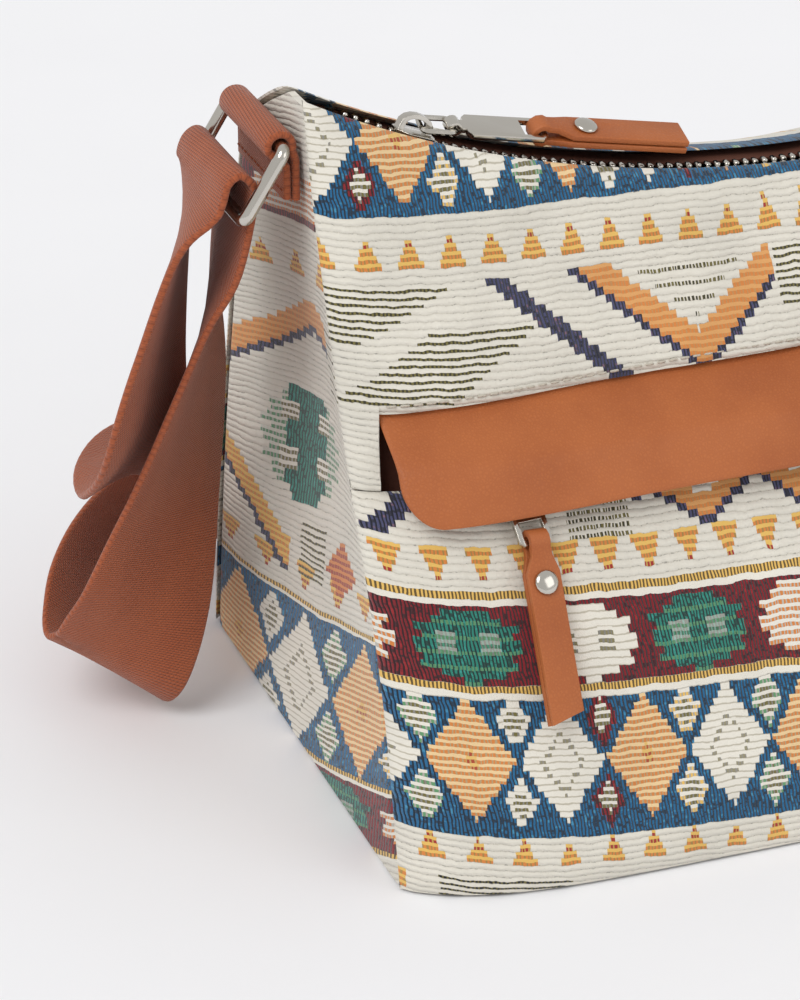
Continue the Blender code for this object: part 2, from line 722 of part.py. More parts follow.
def make_top_pull(mats):
    """Slider, link, plate, leather pull and rivet of the top zip."""
    x = TOP_SLIDER_X
    swing = math.asin(x / RIDGE_RADIUS)
    middle = Vector((x, zip_middle_y(), ridge_z(x) - ZIP_SINK - TOOTH_HEIGHT / 2))
    along = Vector((math.cos(swing), 0, math.sin(swing)))
    up = Vector((-math.sin(swing), 0, math.cos(swing)))
    pivot = Vector((0, middle.y, RIDGE_CENTRE_Z))
    slider("top_slider", local_frame(middle, along, up), TOP_BRIDGE_RISE, False, mats["nickel"], pivot)

    tunnel = TOOTH_HEIGHT / 2 + RUN_CLEARANCE + SLIDER_WALL + TOP_BRIDGE_RISE * 0.59
    start = middle + up * tunnel + along * (SLIDER_LENGTH * 0.12)
    way = Vector((math.cos(PULL_SLOPE), 0, -math.sin(PULL_SLOPE)))
    level = Vector((math.sin(PULL_SLOPE), 0, math.cos(PULL_SLOPE)))
    out = (level * math.cos(PULL_ROLL) - Vector((0, 1, 0)) * math.sin(PULL_ROLL)).normalized()
    across = out.cross(way)
    rod_loop("top_link", start + way * LINK_LENGTH / 2, way, across, LINK_LENGTH / 2, LINK_WIDTH / 2,
             LINK_WIRE / 2, 0.0016, mats["nickel"], start, sides=6)
    joint = start + way * LINK_LENGTH
    frame = local_frame(joint, way, out)
    hole = LINK_WIRE / 2 + RUN_CLEARANCE
    wall = 0.0009
    half = LINK_WIDTH / 2 - LINK_WIRE / 2 - 0.0005
    plate = flat_plate("top_pull_plate", frame, hole + wall + 0.0010, PLATE_LENGTH, mats["nickel"], joint)
    near, far = hole + wall / 2, hole + wall + 0.0020
    neck = [(near, half), (far, half), (far, -half), (near, -half)]
    thin = PLATE_THICKNESS / 2
    cut(plate, extrude("top_plate_neck", neck, frame, -thin, thin, mats["nickel"]), "UNION")
    cut(plate, eye_tube("top_plate_eye", frame, hole, wall, half, mats["nickel"], None), "UNION")
    cut(plate, eye_tube("top_plate_bore", frame, hole, wall, half * 2, mats["nickel"], None, True))
    bar = frame(PLATE_LENGTH - EYE_BAR / 2, 0, 0)
    pull = local_frame(bar, way, out)
    strip = leather_pull("top_leather_pull", pull, TOP_PULL_LENGTH, mats["leather"], bar)
    rivet("top_pull_rivet", pull, 0.0115, strip, mats["nickel"], bar)


def on_front(x, z, stand):
    """Point standing off the front's outer face."""
    slope = (front_y(x, z + 0.001) - front_y(x, z - 0.001)) / 0.002
    out = Vector((0, -1, slope)).normalized()
    return Vector((x, front_y(x, z), z)) + out * stand, out


POCKET_TAPE_DEPTH = CLOTH + 2 * LAYER_GAP + FLAP_THICKNESS + TAPE / 2


def pocket_zip_frame(x):
    """Middle, run and outward way of the pocket's zip at x; the zip bows in an arc seen from above."""
    middle_y = front_in(0, POCKET_ZIP_HEIGHT, POCKET_TAPE_DEPTH)
    bow = middle_y - front_in(0.090, POCKET_ZIP_HEIGHT, POCKET_TAPE_DEPTH)
    radius = (0.090**2 + bow**2) / (2 * bow)
    angle = math.asin(x / radius)
    centre = Vector((0, middle_y - radius, POCKET_ZIP_HEIGHT))
    inward = Vector((math.sin(angle), math.cos(angle), 0))
    _, facing = on_front(0.050, POCKET_ZIP_HEIGHT, 0)
    out = Vector((inward.x * facing.y, inward.y * facing.y, facing.z))
    return centre + inward * radius, Vector((math.cos(angle), -math.sin(angle), 0)), out


def make_pocket_zip(mats):
    """Tapes and teeth of the pocket's zip, behind the flap."""
    half = POCKET_ZIP_LENGTH / 2
    xs = [-half - 0.006] + [x for x in STATIONS if abs(x) < half] + [half + 0.006]
    near = ROW_GAP / 2 + TOOTH_REACH + RUN_CLEARANCE

    def tape(name, side, far, sewn):
        def place(x, v, extra):
            middle, along, out = pocket_zip_frame(x)
            start = middle + Vector((0, out.z, -out.y)) * side * near
            start += out * -extra
            z = start.z + (far - start.z) * v
            edge = front_in(x, z, sewn + extra)
            straight = start.y + (front_in(x, z, 0) - front_in(x, start.z, 0))
            return (x, straight + (edge - straight) * blend(v * 1.3), z)
        slab(name, lambda x, v: place(x, v, -TAPE / 2), lambda x, v: place(x, v, TAPE / 2), xs,
             steps(0, 1, 5), mats["tape"])

    tape("pocket_zip_tape_lower", -1, POCKET_ZIP_HEIGHT - 0.015, CLOTH + LAYER_GAP + TAPE / 2)
    tape("pocket_zip_tape_upper", 1, HEM_HEIGHT + 0.003, POCKET_TAPE_DEPTH)
    for label, side in (("lower", -1), ("upper", 1)):
        def tooth(x, tip, up, s=side):
            middle, along, out = pocket_zip_frame(x)
            rising = out.cross(along)
            return middle + rising * s * (ROW_GAP / 2 + tip) + out * (up - TOOTH_HEIGHT / 2)
        end = half - 0.002
        tooth_bar("pocket_zip_teeth_" + label, TOOTH_REACH, tooth, -end, end, mats["nickel"])


STOP_NAMES = ("top_stop_front", "top_stop_back", "top_stop_end", "pocket_stop_left", "pocket_stop_right")


def make_zip_stops(mats):
    """Crimped stops at the ends of both zips."""
    boxes = []
    end = HALF_WIDTH - 0.009
    for x, side in ((-end + 0.0014, -1), (-end + 0.0014, 1), (end - 0.0022, 0)):
        tip = zip_middle_y() if side == 0 else row_edge(x, side) + side * TOOTH_REACH / 2
        reach = TOOTH_REACH + ROW_GAP / 2 if side == 0 else TOOTH_REACH / 2
        z = ridge_z(x) - ZIP_SINK - TOOTH_HEIGHT / 2
        rise = Vector((0, 0, TOOTH_HEIGHT / 2))
        boxes.append((Vector((x, tip, z)), Vector((0.0009, 0, 0)), Vector((0, reach, 0)), rise))
    for x in (-POCKET_ZIP_LENGTH / 2 - 0.0005, POCKET_ZIP_LENGTH / 2 + 0.0005):
        middle, along, out = pocket_zip_frame(x)
        boxes.append((middle, along * 0.0009, out * TOOTH_HEIGHT / 2, out.cross(along) * TOOTH_REACH))
    faces = ((0, 1, 3, 2), (4, 6, 7, 5), (0, 4, 5, 1), (2, 3, 7, 6), (0, 2, 6, 4), (1, 5, 7, 3))
    for name, (middle, a, b, c) in zip(STOP_NAMES, boxes):
        verts = [middle + a * i + b * j + c * k for i in (-1, 1) for j in (-1, 1) for k in (-1, 1)]
        make(name, verts, faces, mats["nickel"])


def make_pocket_pull(mats):
    """Slider, plate, leather pull and rivet of the pocket's zip."""
    x, z = POCKET_SLIDER_X, POCKET_ZIP_HEIGHT
    middle, along, out = pocket_zip_frame(x)
    seat = local_frame(middle, along, out)
    slider("pocket_slider", seat, POCKET_BRIDGE_RISE, True, mats["nickel"], middle)
    down = along.cross(out)
    tunnel = TOOTH_HEIGHT / 2 + RUN_CLEARANCE + SLIDER_WALL + POCKET_BRIDGE_RISE / 2
    start = middle + out * tunnel + down * (SLIDER_WIDTH / 2 * 0.62 - EYE_BAR / 2 - 0.0010)
    target, _ = on_front(x, z - 0.0185, PULL_STAND)
    way = target - start
    way = (way - along * way.dot(along)).normalized()
    face = way.cross(along)
    frame = local_frame(start, way, face)
    plate = flat_plate("pocket_pull_plate", frame, -EYE_BAR / 2, POCKET_PLATE_LENGTH, mats["nickel"], start)
    slot(plate, frame, EYE_BAR / 2, EYE_BAR / 2 + 0.0032, start)
    bar = frame(POCKET_PLATE_LENGTH - EYE_BAR / 2, 0, 0)
    end, _ = on_front(x + 0.0015, 0.0400, PULL_STAND + 0.0016)
    hang = (end - bar).normalized()
    side = hang.cross(along).normalized()
    pull = local_frame(bar, hang, side)
    strip = leather_pull("pocket_leather_pull", pull, POCKET_PULL_LENGTH, mats["leather"], bar, 0.0012)
    rivet("pocket_pull_rivet", pull, 0.0100, strip, mats["nickel"], bar)


def make_flap(mats):
    """Leather flap over the pocket's zip, its root sewn under the hem."""
    half = FLAP_WIDTH / 2
    root = HEM_HEIGHT + 0.0045
    depth = CLOTH + LAYER_GAP

    def stand(z):
        out = blend((HEM_HEIGHT + 0.0005 - z) / 0.0110)
        return depth - out * (FLAP_STAND + FLAP_THICKNESS + depth)

    def edge(x):
        """Height of the flap's lower edge at x, round at its corners."""
        over = abs(x) - (half - FLAP_CORNER)
        if over <= 0:
            return FLAP_EDGE
        over = min(over, FLAP_CORNER)
        return FLAP_EDGE + FLAP_CORNER - math.sqrt(FLAP_CORNER**2 - over**2)

    corner = [half - FLAP_CORNER * (1 - math.sin(t)) for t in steps(0, math.pi / 2, 5)]
    xs = [-x for x in reversed(corner)] + [x for x in STATIONS if abs(x) < corner[0] - 0.002] + corner
    vs = steps(0, 1, 8)

    def place(x, v, inward):
        z = root + (edge(x) - root) * v
        return (x, front_in(x, z, stand(z) + inward), z)

    slab("leather_flap", lambda x, v: place(x, v, 0), lambda x, v: place(x, v, FLAP_THICKNESS), xs, vs,
         mats["leather"])


def ring_bottom(side):
    """Middle of the lower bar of a strap ring."""
    drop = RING_INSIDE_HEIGHT + RING_WIRE
    top = Vector((side * -RING_TOP.x, RING_TOP.y, RING_TOP.z))
    return top + Vector((side * math.sin(RING_LEAN), 0, -math.cos(RING_LEAN))) * drop


def make_rings(mats):
    """Strap rings and the webbing tabs that hold them."""
    for label, side in (("left", -1), ("right", 1)):
        top = Vector((side * -RING_TOP.x, RING_TOP.y, RING_TOP.z))
        bottom = ring_bottom(side)
        half_height = (RING_INSIDE_HEIGHT + RING_WIRE) / 2
        half_width = (RING_INSIDE_WIDTH + RING_WIRE) / 2
        rod_loop(label + "_ring", (top + bottom) / 2, (0, 1, 0), bottom - top, half_width, half_height,
                 RING_WIRE / 2, 0.0022, mats["nickel"], top)

        bend = RING_WIRE / 2 + RUN_CLEARANCE + WEBBING / 2
        wall = side * (HALF_WIDTH + SEAM_GAP + WEBBING / 2)
        other = wall + side * (WEBBING + 0.0003)
        line = [(wall, z) for z in steps(TAB_FOOT, top.z - bend * 1.2, 3)]
        for angle in steps(-20, 200, 11):
            a = math.radians(angle)
            line.append((top.x - side * bend * math.cos(a), top.z + bend * math.sin(a)))
        line += [(other, z) for z in steps(top.z - bend * 1.7, TAB_FOOT + 0.0005, 3)]
        path = [Vector((x, top.y, z)) for x, z in line]
        ways = [Vector((0, 1, 0))] * len(path)
        sweep(label + "_tab", ribbon_sections(path, ways, WEBBING_WIDTH, WEBBING), mats["webbing"])


def catmull(points, per):
    """Smooth points through a list of vectors, with per steps to a span."""
    pts = [np.array(p, float) for p in points]
    out = []
    for k in range(len(pts) - 1):
        p0, p1, p2, p3 = pts[max(k - 1, 0)], pts[k], pts[k + 1], pts[min(k + 2, len(pts) - 1)]
        for i in range(per):
            t = i / per
            out.append(0.5 * (2 * p1 + (p2 - p0) * t + (2 * p0 - 5 * p1 + 4 * p2 - p3) * t**2
                              + (3 * p1 - p0 - 3 * p2 + p3) * t**3))
    out.append(pts[-1])
    return out


def adjuster_axes():
    """Width, run and outward directions of the strap's adjuster."""
    across = width_way(*ADJUSTER_TURN)
    run = Vector(ADJUSTER_RUN)
    run = (run - across * run.dot(across)).normalized()
    return across, run, run.cross(across).normalized()


def strap_stations():
    """Centre points and width ways along the webbing, from its end on the adjuster to the right ring."""
    across, run, out = adjuster_axes()
    core = ADJUSTER_WIRE / 2 + RUN_CLEARANCE + WEBBING / 2
    over = core + WEBBING + SEAM_GAP
    reach = (ADJUSTER_LENGTH - ADJUSTER_WIRE) / 2

    def by_adjuster(pairs):
        return [(ADJUSTER_CENTRE + run * r + out * o, across) for r, o in pairs]

    def placed(rows):
        return [(Vector(row[:3]), width_way(row[3], row[4])) for row in rows]

    wrap = [(core * math.cos(t), core * math.sin(t)) for t in steps(math.radians(25), math.radians(270), 8)]
    leaving = [(reach * 0.33, -core - 0.0007), (reach * 0.66, -core - 0.0017),
               (reach, -core - 0.0026), (reach + 0.0035, -core - 0.0034)]
    first = by_adjuster([(-r, o) for r, o in wrap + leaving])
    outer = placed(reversed(OUTER_LEG))
    flat = Vector((0, 1, 0))
    rung = ring_bottom(-1)
    arch = [(rung + Vector((dx, 0, dz)), flat) for dx, dz in (
        (-0.0042, 0.0040), (-0.0028, 0.0084), (0.0002, 0.0104), (0.0030, 0.0080), (0.0036, 0.0035))]
    inner = placed(INNER_LEG)
    fold = placed(FOLD_TURN)
    crest = steps(math.radians(30), math.radians(150), 4)
    thread = [(-over * math.cos(t), over * math.sin(t)) for t in crest]
    low = -core - 0.0002
    through = [(-reach - 0.0070, low - 0.0004), (-reach, low), (-reach * 0.66, low + 0.0012),
               (-over * 0.98, 0.0009)]
    through += thread + [(-r, o) for r, o in reversed(through)]
    passing = by_adjuster(through)
    back = placed(BACK_RUN)
    foot = ring_bottom(1)
    bend = RING_WIRE / 2 + RUN_CLEARANCE + WEBBING / 2
    last = [(foot + Vector((0.0010, 0, -0.0280)), flat), (foot + Vector((0.0010, 0, -0.0130)), flat),
            (foot + Vector((bend * 0.9, 0, -0.0045)), flat)]
    for t in steps(0, math.pi, 6):
        last.append((foot + Vector((bend * math.cos(t), 0, bend * math.sin(t))), flat))
    last += [(foot + Vector((-bend * 0.75, 0, -0.0045)), flat), (foot + Vector((-0.0014, 0, -0.0110)), flat),
             (foot + Vector((-0.0014, 0, -0.0260)), flat)]
    return first + outer + arch + inner + fold + passing + back + last


def make_strap(mats):
    """Webbing strap with its folded ends, and the adjuster on it."""
    across, run, out = adjuster_axes()
    half_length = (ADJUSTER_LENGTH - ADJUSTER_WIRE) / 2
    half_width = (WEBBING_WIDTH + 0.0012 + ADJUSTER_WIRE) / 2
    frame = rod_loop("strap_adjuster", ADJUSTER_CENTRE, across, run, half_width, half_length,
                     ADJUSTER_WIRE / 2, 0.003, mats["nickel"], ADJUSTER_CENTRE)
    bar = []
    for end in (-1, 1):
        middle = ADJUSTER_CENTRE + across * end * half_width
        turns = steps(0, 2 * math.pi, 8)[:-1]
        bar.append([middle + (run * math.cos(t) + out * math.sin(t)) * ADJUSTER_WIRE / 2 for t in turns])
    cut(frame, sweep("strap_adjuster_bar", bar, mats["nickel"]), "UNION")

    stations = strap_stations()
    path = [Vector(p) for p in catmull([p for p, _ in stations], 5)]
    ways = [Vector(w).normalized() for w in catmull([w for _, w in stations], 5)]
    strap = sweep("shoulder_strap", ribbon_sections(path, ways, WEBBING_WIDTH, WEBBING), mats["webbing"])
    bm = bmesh.new()
    bm.from_mesh(strap.data)
    bmesh.ops.triangulate(bm, faces=bm.faces)
    bm.to_mesh(strap.data)
    bm.free()


def main():
    """Builds the bag."""
    for obj in list(bpy.data.objects):
        bpy.data.objects.remove(obj)
    mats = make_materials()
    make_panels(mats)
    make_lining(mats)
    make_top_zip(mats)
    make_top_pull(mats)
    make_pocket_zip(mats)
    make_zip_stops(mats)
    make_pocket_pull(mats)
    make_flap(mats)
    make_rings(mats)
    make_strap(mats)


main()
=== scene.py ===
"""Looks of the crossbody bag: woven cloth, leather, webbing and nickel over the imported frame."""

import json
import logging
import math
from dataclasses import dataclass, field
from enum import Enum
from typing import Callable, Optional, Sequence

import bmesh
import bpy
import numpy as np
from mathutils import Matrix, Vector, noise

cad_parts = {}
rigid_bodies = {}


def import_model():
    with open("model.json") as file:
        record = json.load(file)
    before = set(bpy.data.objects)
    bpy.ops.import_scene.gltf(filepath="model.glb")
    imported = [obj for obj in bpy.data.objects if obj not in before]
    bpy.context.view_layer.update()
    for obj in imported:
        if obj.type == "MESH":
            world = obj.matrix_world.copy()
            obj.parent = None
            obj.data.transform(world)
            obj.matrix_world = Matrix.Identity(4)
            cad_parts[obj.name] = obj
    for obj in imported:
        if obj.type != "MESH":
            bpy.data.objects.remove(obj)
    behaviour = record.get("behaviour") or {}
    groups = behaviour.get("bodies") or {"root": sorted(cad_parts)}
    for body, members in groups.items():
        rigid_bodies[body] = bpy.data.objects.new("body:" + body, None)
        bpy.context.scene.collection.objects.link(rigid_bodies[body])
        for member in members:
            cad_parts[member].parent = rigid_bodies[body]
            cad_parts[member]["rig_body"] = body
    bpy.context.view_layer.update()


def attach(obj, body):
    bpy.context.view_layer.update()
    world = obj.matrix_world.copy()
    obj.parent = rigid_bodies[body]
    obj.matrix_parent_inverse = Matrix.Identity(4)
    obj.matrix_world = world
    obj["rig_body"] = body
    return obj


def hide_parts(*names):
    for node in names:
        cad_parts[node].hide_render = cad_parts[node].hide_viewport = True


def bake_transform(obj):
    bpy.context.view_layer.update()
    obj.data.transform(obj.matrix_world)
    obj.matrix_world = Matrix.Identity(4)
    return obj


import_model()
LOG = logging.getLogger("bag")
MM = 0.001


class Cloth(Enum):
    """The two ways that the woven cloth is cut."""

    PANEL = "panel"
    GUSSET = "gusset"


def linear(red: float, green: float, blue: float) -> tuple[float, float, float, float]:
    """Linear colour of a display colour given in 0 to 255."""
    def one(c: float) -> float:
        """One channel."""
        c /= 255
        return c / 12.92 if c <= 0.04045 else ((c + 0.055) / 1.055) ** 2.4
    return (one(red), one(green), one(blue), 1.0)


# Shader values


class Graph:
    """Node tree of one material, with a Principled shader ready."""

    def __init__(self, name: str) -> None:
        """Starts an empty material.

        Args:
            name: the material's name.
        """
        self.material = bpy.data.materials.new(name)
        self.material.use_nodes = True
        self.tree = self.material.node_tree
        self.tree.nodes.clear()
        self.out = self.tree.nodes.new("ShaderNodeOutputMaterial")
        self.shader = self.tree.nodes.new("ShaderNodeBsdfPrincipled")
        self.tree.links.new(self.shader.outputs[0], self.out.inputs["Surface"])

    def node(self, kind: str, settings: Optional[dict] = None, inputs: Optional[dict] = None) -> bpy.types.Node:
        """Adds a node.

        Args:
            kind: the node's type.
            settings: attributes that are set first, and "stops" for a ramp.
            inputs: values or links by socket name or index.

        Returns:
            The node.
        """
        made = self.tree.nodes.new(kind)
        for key, value in (settings or {}).items():
            if key == "stops":
                ramp = made.color_ramp
                while len(ramp.elements) < len(value):
                    ramp.elements.new(0.5)
                for element, (place, colour) in zip(ramp.elements, value):
                    element.position = place
                    element.color = colour
            else:
                setattr(made, key, value)
        for key, value in (inputs or {}).items():
            self.feed(made.inputs[key], value)
        return made

    def feed(self, socket: bpy.types.NodeSocket, value: object) -> None:
        """Links a value to a socket, or sets its number."""
        if isinstance(value, Num):
            self.tree.links.new(value.socket, socket)
        else:
            socket.default_value = value

    def num(self, node: bpy.types.Node, output: object = 0) -> "Num":
        """Wraps a node's output."""
        return Num(self, node.outputs[output])

    def mix(self, first: object, second: object, factor: object) -> "Num":
        """Mixes two colours.

        Args:
            first: colour at factor 0.
            second: colour at factor 1.
            factor: value from 0 to 1.

        Returns:
            The mixed colour.
        """
        made = self.node("ShaderNodeMix", {"data_type": "RGBA"})
        self.feed(made.inputs[0], factor)
        self.feed(made.inputs[6], first)
        self.feed(made.inputs[7], second)
        return Num(self, made.outputs[2])

    def noise(self, vector: "Num", scale: float, detail: float = 2.0, rough: float = 0.5) -> "Num":
        """Noise value at a place."""
        return self.num(self.node("ShaderNodeTexNoise", None, {
            "Vector": vector, "Scale": scale, "Detail": detail, "Roughness": rough}))

    def place(self) -> "Num":
        """Object coordinates."""
        return self.num(self.node("ShaderNodeTexCoord"), "Object")

    def uv(self) -> "Num":
        """The piece's own map."""
        return self.num(self.node("ShaderNodeUVMap", {"uv_map": "UVMap"}))

    def split(self, vector: "Num") -> tuple["Num", "Num", "Num"]:
        """The three numbers of a vector."""
        made = self.node("ShaderNodeSeparateXYZ", None, {0: vector})
        return tuple(Num(self, made.outputs[k]) for k in range(3))

    def join(self, x: object, y: object, z: object = 0.0) -> "Num":
        """Vector of three numbers."""
        return self.num(self.node("ShaderNodeCombineXYZ", None, {0: x, 1: y, 2: z}))

    def bump(self, height: "Num", distance: float, strength: float = 1.0) -> None:
        """Feeds a height to the shader's normal."""
        made = self.node("ShaderNodeBump", None, {"Height": height, "Distance": distance, "Strength": strength})
        self.tree.links.new(made.outputs[0], self.shader.inputs["Normal"])

    def set(self, **values: object) -> None:
        """Sets or links the shader's sockets by name, with _ for a space."""
        for key, value in values.items():
            self.feed(self.shader.inputs[key.replace("_", " ")], value)


class Num:
    """Socket value with arithmetic."""

    def __init__(self, graph: Graph, socket: bpy.types.NodeSocket) -> None:
        """Wraps a socket of the graph."""
        self.graph = graph
        self.socket = socket

    def math(self, operation: str, *others: object, swap: bool = False) -> "Num":
        """Adds a Math node.

        Args:
            operation: the node's operation.
            others: its other inputs.
            swap: puts this value second.

        Returns:
            The result.
        """
        terms = [others[0], self] if swap else [self, *others]
        return self.graph.num(self.graph.node(
            "ShaderNodeMath", {"operation": operation}, {k: t for k, t in enumerate(terms)}))

    def __add__(self, other: object) -> "Num":
        """Sum."""
        return self.math("ADD", other)

    def __radd__(self, other: object) -> "Num":
        """Sum."""
        return self.math("ADD", other)

    def __sub__(self, other: object) -> "Num":
        """Difference."""
        return self.math("SUBTRACT", other)

    def __rsub__(self, other: object) -> "Num":
        """Difference, reflected."""
        return self.math("SUBTRACT", other, swap=True)

    def __mul__(self, other: object) -> "Num":
        """Product."""
        return self.math("MULTIPLY", other)

    def __rmul__(self, other: object) -> "Num":
        """Product."""
        return self.math("MULTIPLY", other)

    def __truediv__(self, other: object) -> "Num":
        """Quotient."""
        return self.math("DIVIDE", other)

    def __rtruediv__(self, other: object) -> "Num":
        """Quotient, reflected."""
        return self.math("DIVIDE", other, swap=True)

    def __mod__(self, other: object) -> "Num":
        """Floored remainder."""
        return self.math("FLOORED_MODULO", other)

    def __pow__(self, other: object) -> "Num":
        """Power."""
        return self.math("POWER", other)

    def __lt__(self, other: object) -> "Num":
        """1 where less."""
        return self.math("LESS_THAN", other)

    def __gt__(self, other: object) -> "Num":
        """1 where greater."""
        return self.math("GREATER_THAN", other)

    def __abs__(self) -> "Num":
        """Absolute value."""
        return self.math("ABSOLUTE")

    def __neg__(self) -> "Num":
        """Negative."""
        return self.math("MULTIPLY", -1.0)

    def floor(self) -> "Num":
        """Whole number below."""
        return self.math("FLOOR")

    def fract(self) -> "Num":
        """Fraction."""
        return self.math("FRACT")

    def sine(self) -> "Num":
        """Sine."""
        return self.math("SINE")

    def most(self, other: object) -> "Num":
        """Larger of two."""
        return self.math("MAXIMUM", other)

    def least(self, other: object) -> "Num":
        """Smaller of two."""
        return self.math("MINIMUM", other)

    def between(self, low: object, high: object) -> "Num":
        """1 between two numbers."""
        return (self > low) * (self < high)

    def ease(self, low: float, high: float) -> "Num":
        """Smooth step from 0 at low to 1 at high."""
        return self.graph.num(self.graph.node(
            "ShaderNodeMapRange", {"interpolation_type": "SMOOTHSTEP"},
            {"Value": self, "From Min": low, "From Max": high, "To Min": 0.0, "To Max": 1.0}))

    def folded(self, middle: float, period: float) -> "Num":
        """Distance to the nearest of the places middle + n * period."""
        return abs((self - (middle - period / 2)) % period - period / 2)

    def count(self, middle: float, period: float) -> "Num":
        """Number of the nearest of the places middle + n * period."""
        return ((self - (middle - period / 2)) / period).floor()


# Finishes


@dataclass
class Weave:
    """Jacquard cloth: cream ribs with coloured bands and stepped figures.

    The map gives U along the rows and V up the cloth, in millimetres.
    """

    cut: Cloth
    rib: float = 1.62
    step: float = 0.82
    cream: tuple = linear(226, 221, 209)
    # cream darkened as painted shade, laid in the rib valleys
    cream_painted_shade: tuple = linear(178, 170, 152)
    ink: tuple = linear(26, 26, 30)
    blue: tuple = linear(30, 100, 144)
    navy: tuple = linear(70, 72, 104)
    maroon: tuple = linear(128, 26, 34)
    green: tuple = linear(40, 128, 112)
    leaf: tuple = linear(98, 148, 104)
    orange: tuple = linear(208, 128, 62)
    yellow: tuple = linear(224, 182, 96)
    red: tuple = linear(158, 44, 40)
    olive: tuple = linear(112, 104, 58)

    def material(self) -> bpy.types.Material:
        """Builds the cloth's material."""
        g = Graph("cloth_" + self.cut.value)
        u, v, _ = g.split(g.uv())
        spot = g.join(u, v)
        wobble = (g.noise(spot, 0.16, 1.0) - 0.5) * 1.2 + (g.noise(spot, 0.7, 1.0) - 0.5) * 0.5
        v = v + wobble
        u = u + (g.noise(g.join(v, u), 0.35, 1.0) - 0.5) * 0.8
        ribs = v / self.rib
        row = ribs.floor()
        part = ribs.fract()
        vq = (row + 0.5) * self.rib
        jog = (g.noise(g.join(u * 0.9, row * 7.3), 1.0, 0.0) - 0.5) * 1.1
        uq = ((u + jog) / self.step).floor() * self.step + self.step / 2
        self.cells = (g, u, v, uq, vq, row, part)
        self.lay_ground()
        if self.cut is Cloth.PANEL:
            self.panel_figures()
        else:
            self.gusset_figures()
        tone = g.noise(spot, 0.05, 2.0).ease(0.25, 0.75) * 0.12 + 0.92
        colour = g.num(g.node("ShaderNodeMix", {"data_type": "RGBA", "blend_type": "MULTIPLY"}, {0: 1.0}), 2)
        node = colour.socket.node
        g.feed(node.inputs[6], self.colour)
        g.feed(node.inputs[7], g.join(tone, tone, tone))
        fuzz = g.noise(spot, 3.1, 2.0)
        g.set(Base_Color=colour, Roughness=0.93, Sheen_Weight=0.25, Sheen_Roughness=0.6)
        g.shader.inputs["Specular IOR Level"].default_value = 0.2
        g.bump(self.height + fuzz * 0.45, 0.50 * MM, 0.9)
        return g.material

    def lay(self, mask: Num, colour: object, height: object) -> None:
        """Lays a colour and a height where the mask is 1."""
        g = self.cells[0]
        self.colour = g.mix(self.colour, colour, mask)
        self.height = self.height * (1 - mask) + height * mask

    def lay_ground(self) -> None:
        """Cream chenille ribs, darker in the valleys as painted shade, with specks in the valleys, and the fills that
        figures use.
        """
        g, u, v, uq, vq, row, part = self.cells
        swell = (part * math.pi).sine()
        loose = g.noise(g.join(u * 0.55, row * 3.7), 1.0, 2.0)
        valley = 1 - swell.ease(0.0, 0.45)
        speck = g.noise(g.join(u * 1.1, row * 5.1), 1.0, 2.0).ease(0.54, 0.66) * valley
        # painted shade: the cream darkens in the rib valleys, and it is also darker on the flatter ribs
        cream = g.mix(self.cream, self.cream_painted_shade, (valley * 0.34 + (1 - loose) * 0.24).least(1.0))
        self.colour = g.mix(cream, self.ink, speck * 0.55)
        self.height = swell * (loose * 0.7 + 0.4)

        thread = u / 0.86 + v * 0.11 + g.noise(g.join(u * 0.3, v * 0.25), 1.0, 0.0) * 0.8
        tid = thread.floor()
        tf = thread.fract()
        self.thread_height = (tf * math.pi).sine() * 0.45
        length = g.noise(g.join(tid * 5.3, v * 0.75), 1.0, 1.0)
        self.dark = (tf > 0.56).most(length.ease(0.56, 0.62) * 0.85)
        # painted highlight: threads where this mask is high are lightened to a solid area's light colour
        self.painted_thread_highlight = length.ease(0.30, 0.42) * -1 + 1
        dash = (u / 0.95 + row * 0.5 + g.noise(g.join(u, row), 0.6, 0.0)).fract()
        self.dash = (dash < 0.62) * (part < 0.52)
        self.gap = (dash > 0.62) * (part < 0.52)

    def woven(self, tint: tuple, light: tuple) -> Num:
        """Colour of a solid area: close upright threads with ink between them, some threads lightened to the light
        colour as painted highlights.
        """
        g = self.cells[0]
        base = g.mix(tint, light, self.painted_thread_highlight * 0.6)
        return g.mix(base, self.ink, self.dark * 0.9)

    def hatched(self, tint: tuple, light: tuple, ink: float = 0.5) -> Num:
        """Colour of a figure: light rows and rows of dashes."""
        g = self.cells[0]
        base = g.mix(light, tint, self.dash)
        return g.mix(base, self.ink, self.gap * ink)

    def panel_figures(self) -> None:
        """Bands and figures of the front and back cloth."""
        g, u, v, uq, vq, row, part = self.cells
        self.diagonals(uq, vq)
        self.diamond_band(uq, vq)
        self.medallion_band(uq, vq, 53.5, 70.5, -110.0, 29.2)
        self.lines(vq, v)
        self.triangles(uq, vq, 10.6, 17.2, -112.7, 10.85, True)
        self.triangles(uq, vq, 75.4, 82.0, -125.5, 10.75, False)
        self.triangles(uq, vq, 141.6, 148.4, -109.1, 10.65, True)
        low = uq.between(-122, -90) * vq.between(2.4, 7.8)
        self.lay(low * (part < 0.34), g.mix(self.olive, self.ink, self.dash), 0.3)
        strip = uq.folded(-48, 96).between(-1, 15) * vq.between(1.5, 6.5)
        self.lay(strip, self.hatched(self.orange, self.yellow), 0.45)

    def diamond_band(self, uq: Num, vq: Num) -> None:
        """Blue band with large diamonds and pairs of small ones, low down and again at the top."""
        top = vq > 145
        uq = uq - top * 48.1
        band = vq - top * 133.0
        blue = band.between(18.5, 50.3)
        self.lay(blue, self.woven(self.blue, linear(76, 156, 192)), self.thread_height)
        self.large_diamonds(uq, band, blue, -112.7, 21.8, 36.0, 10.6, 14.8)
        self.small_diamonds(uq, band, blue, -123.6, 21.8, 36.0, 9.6)

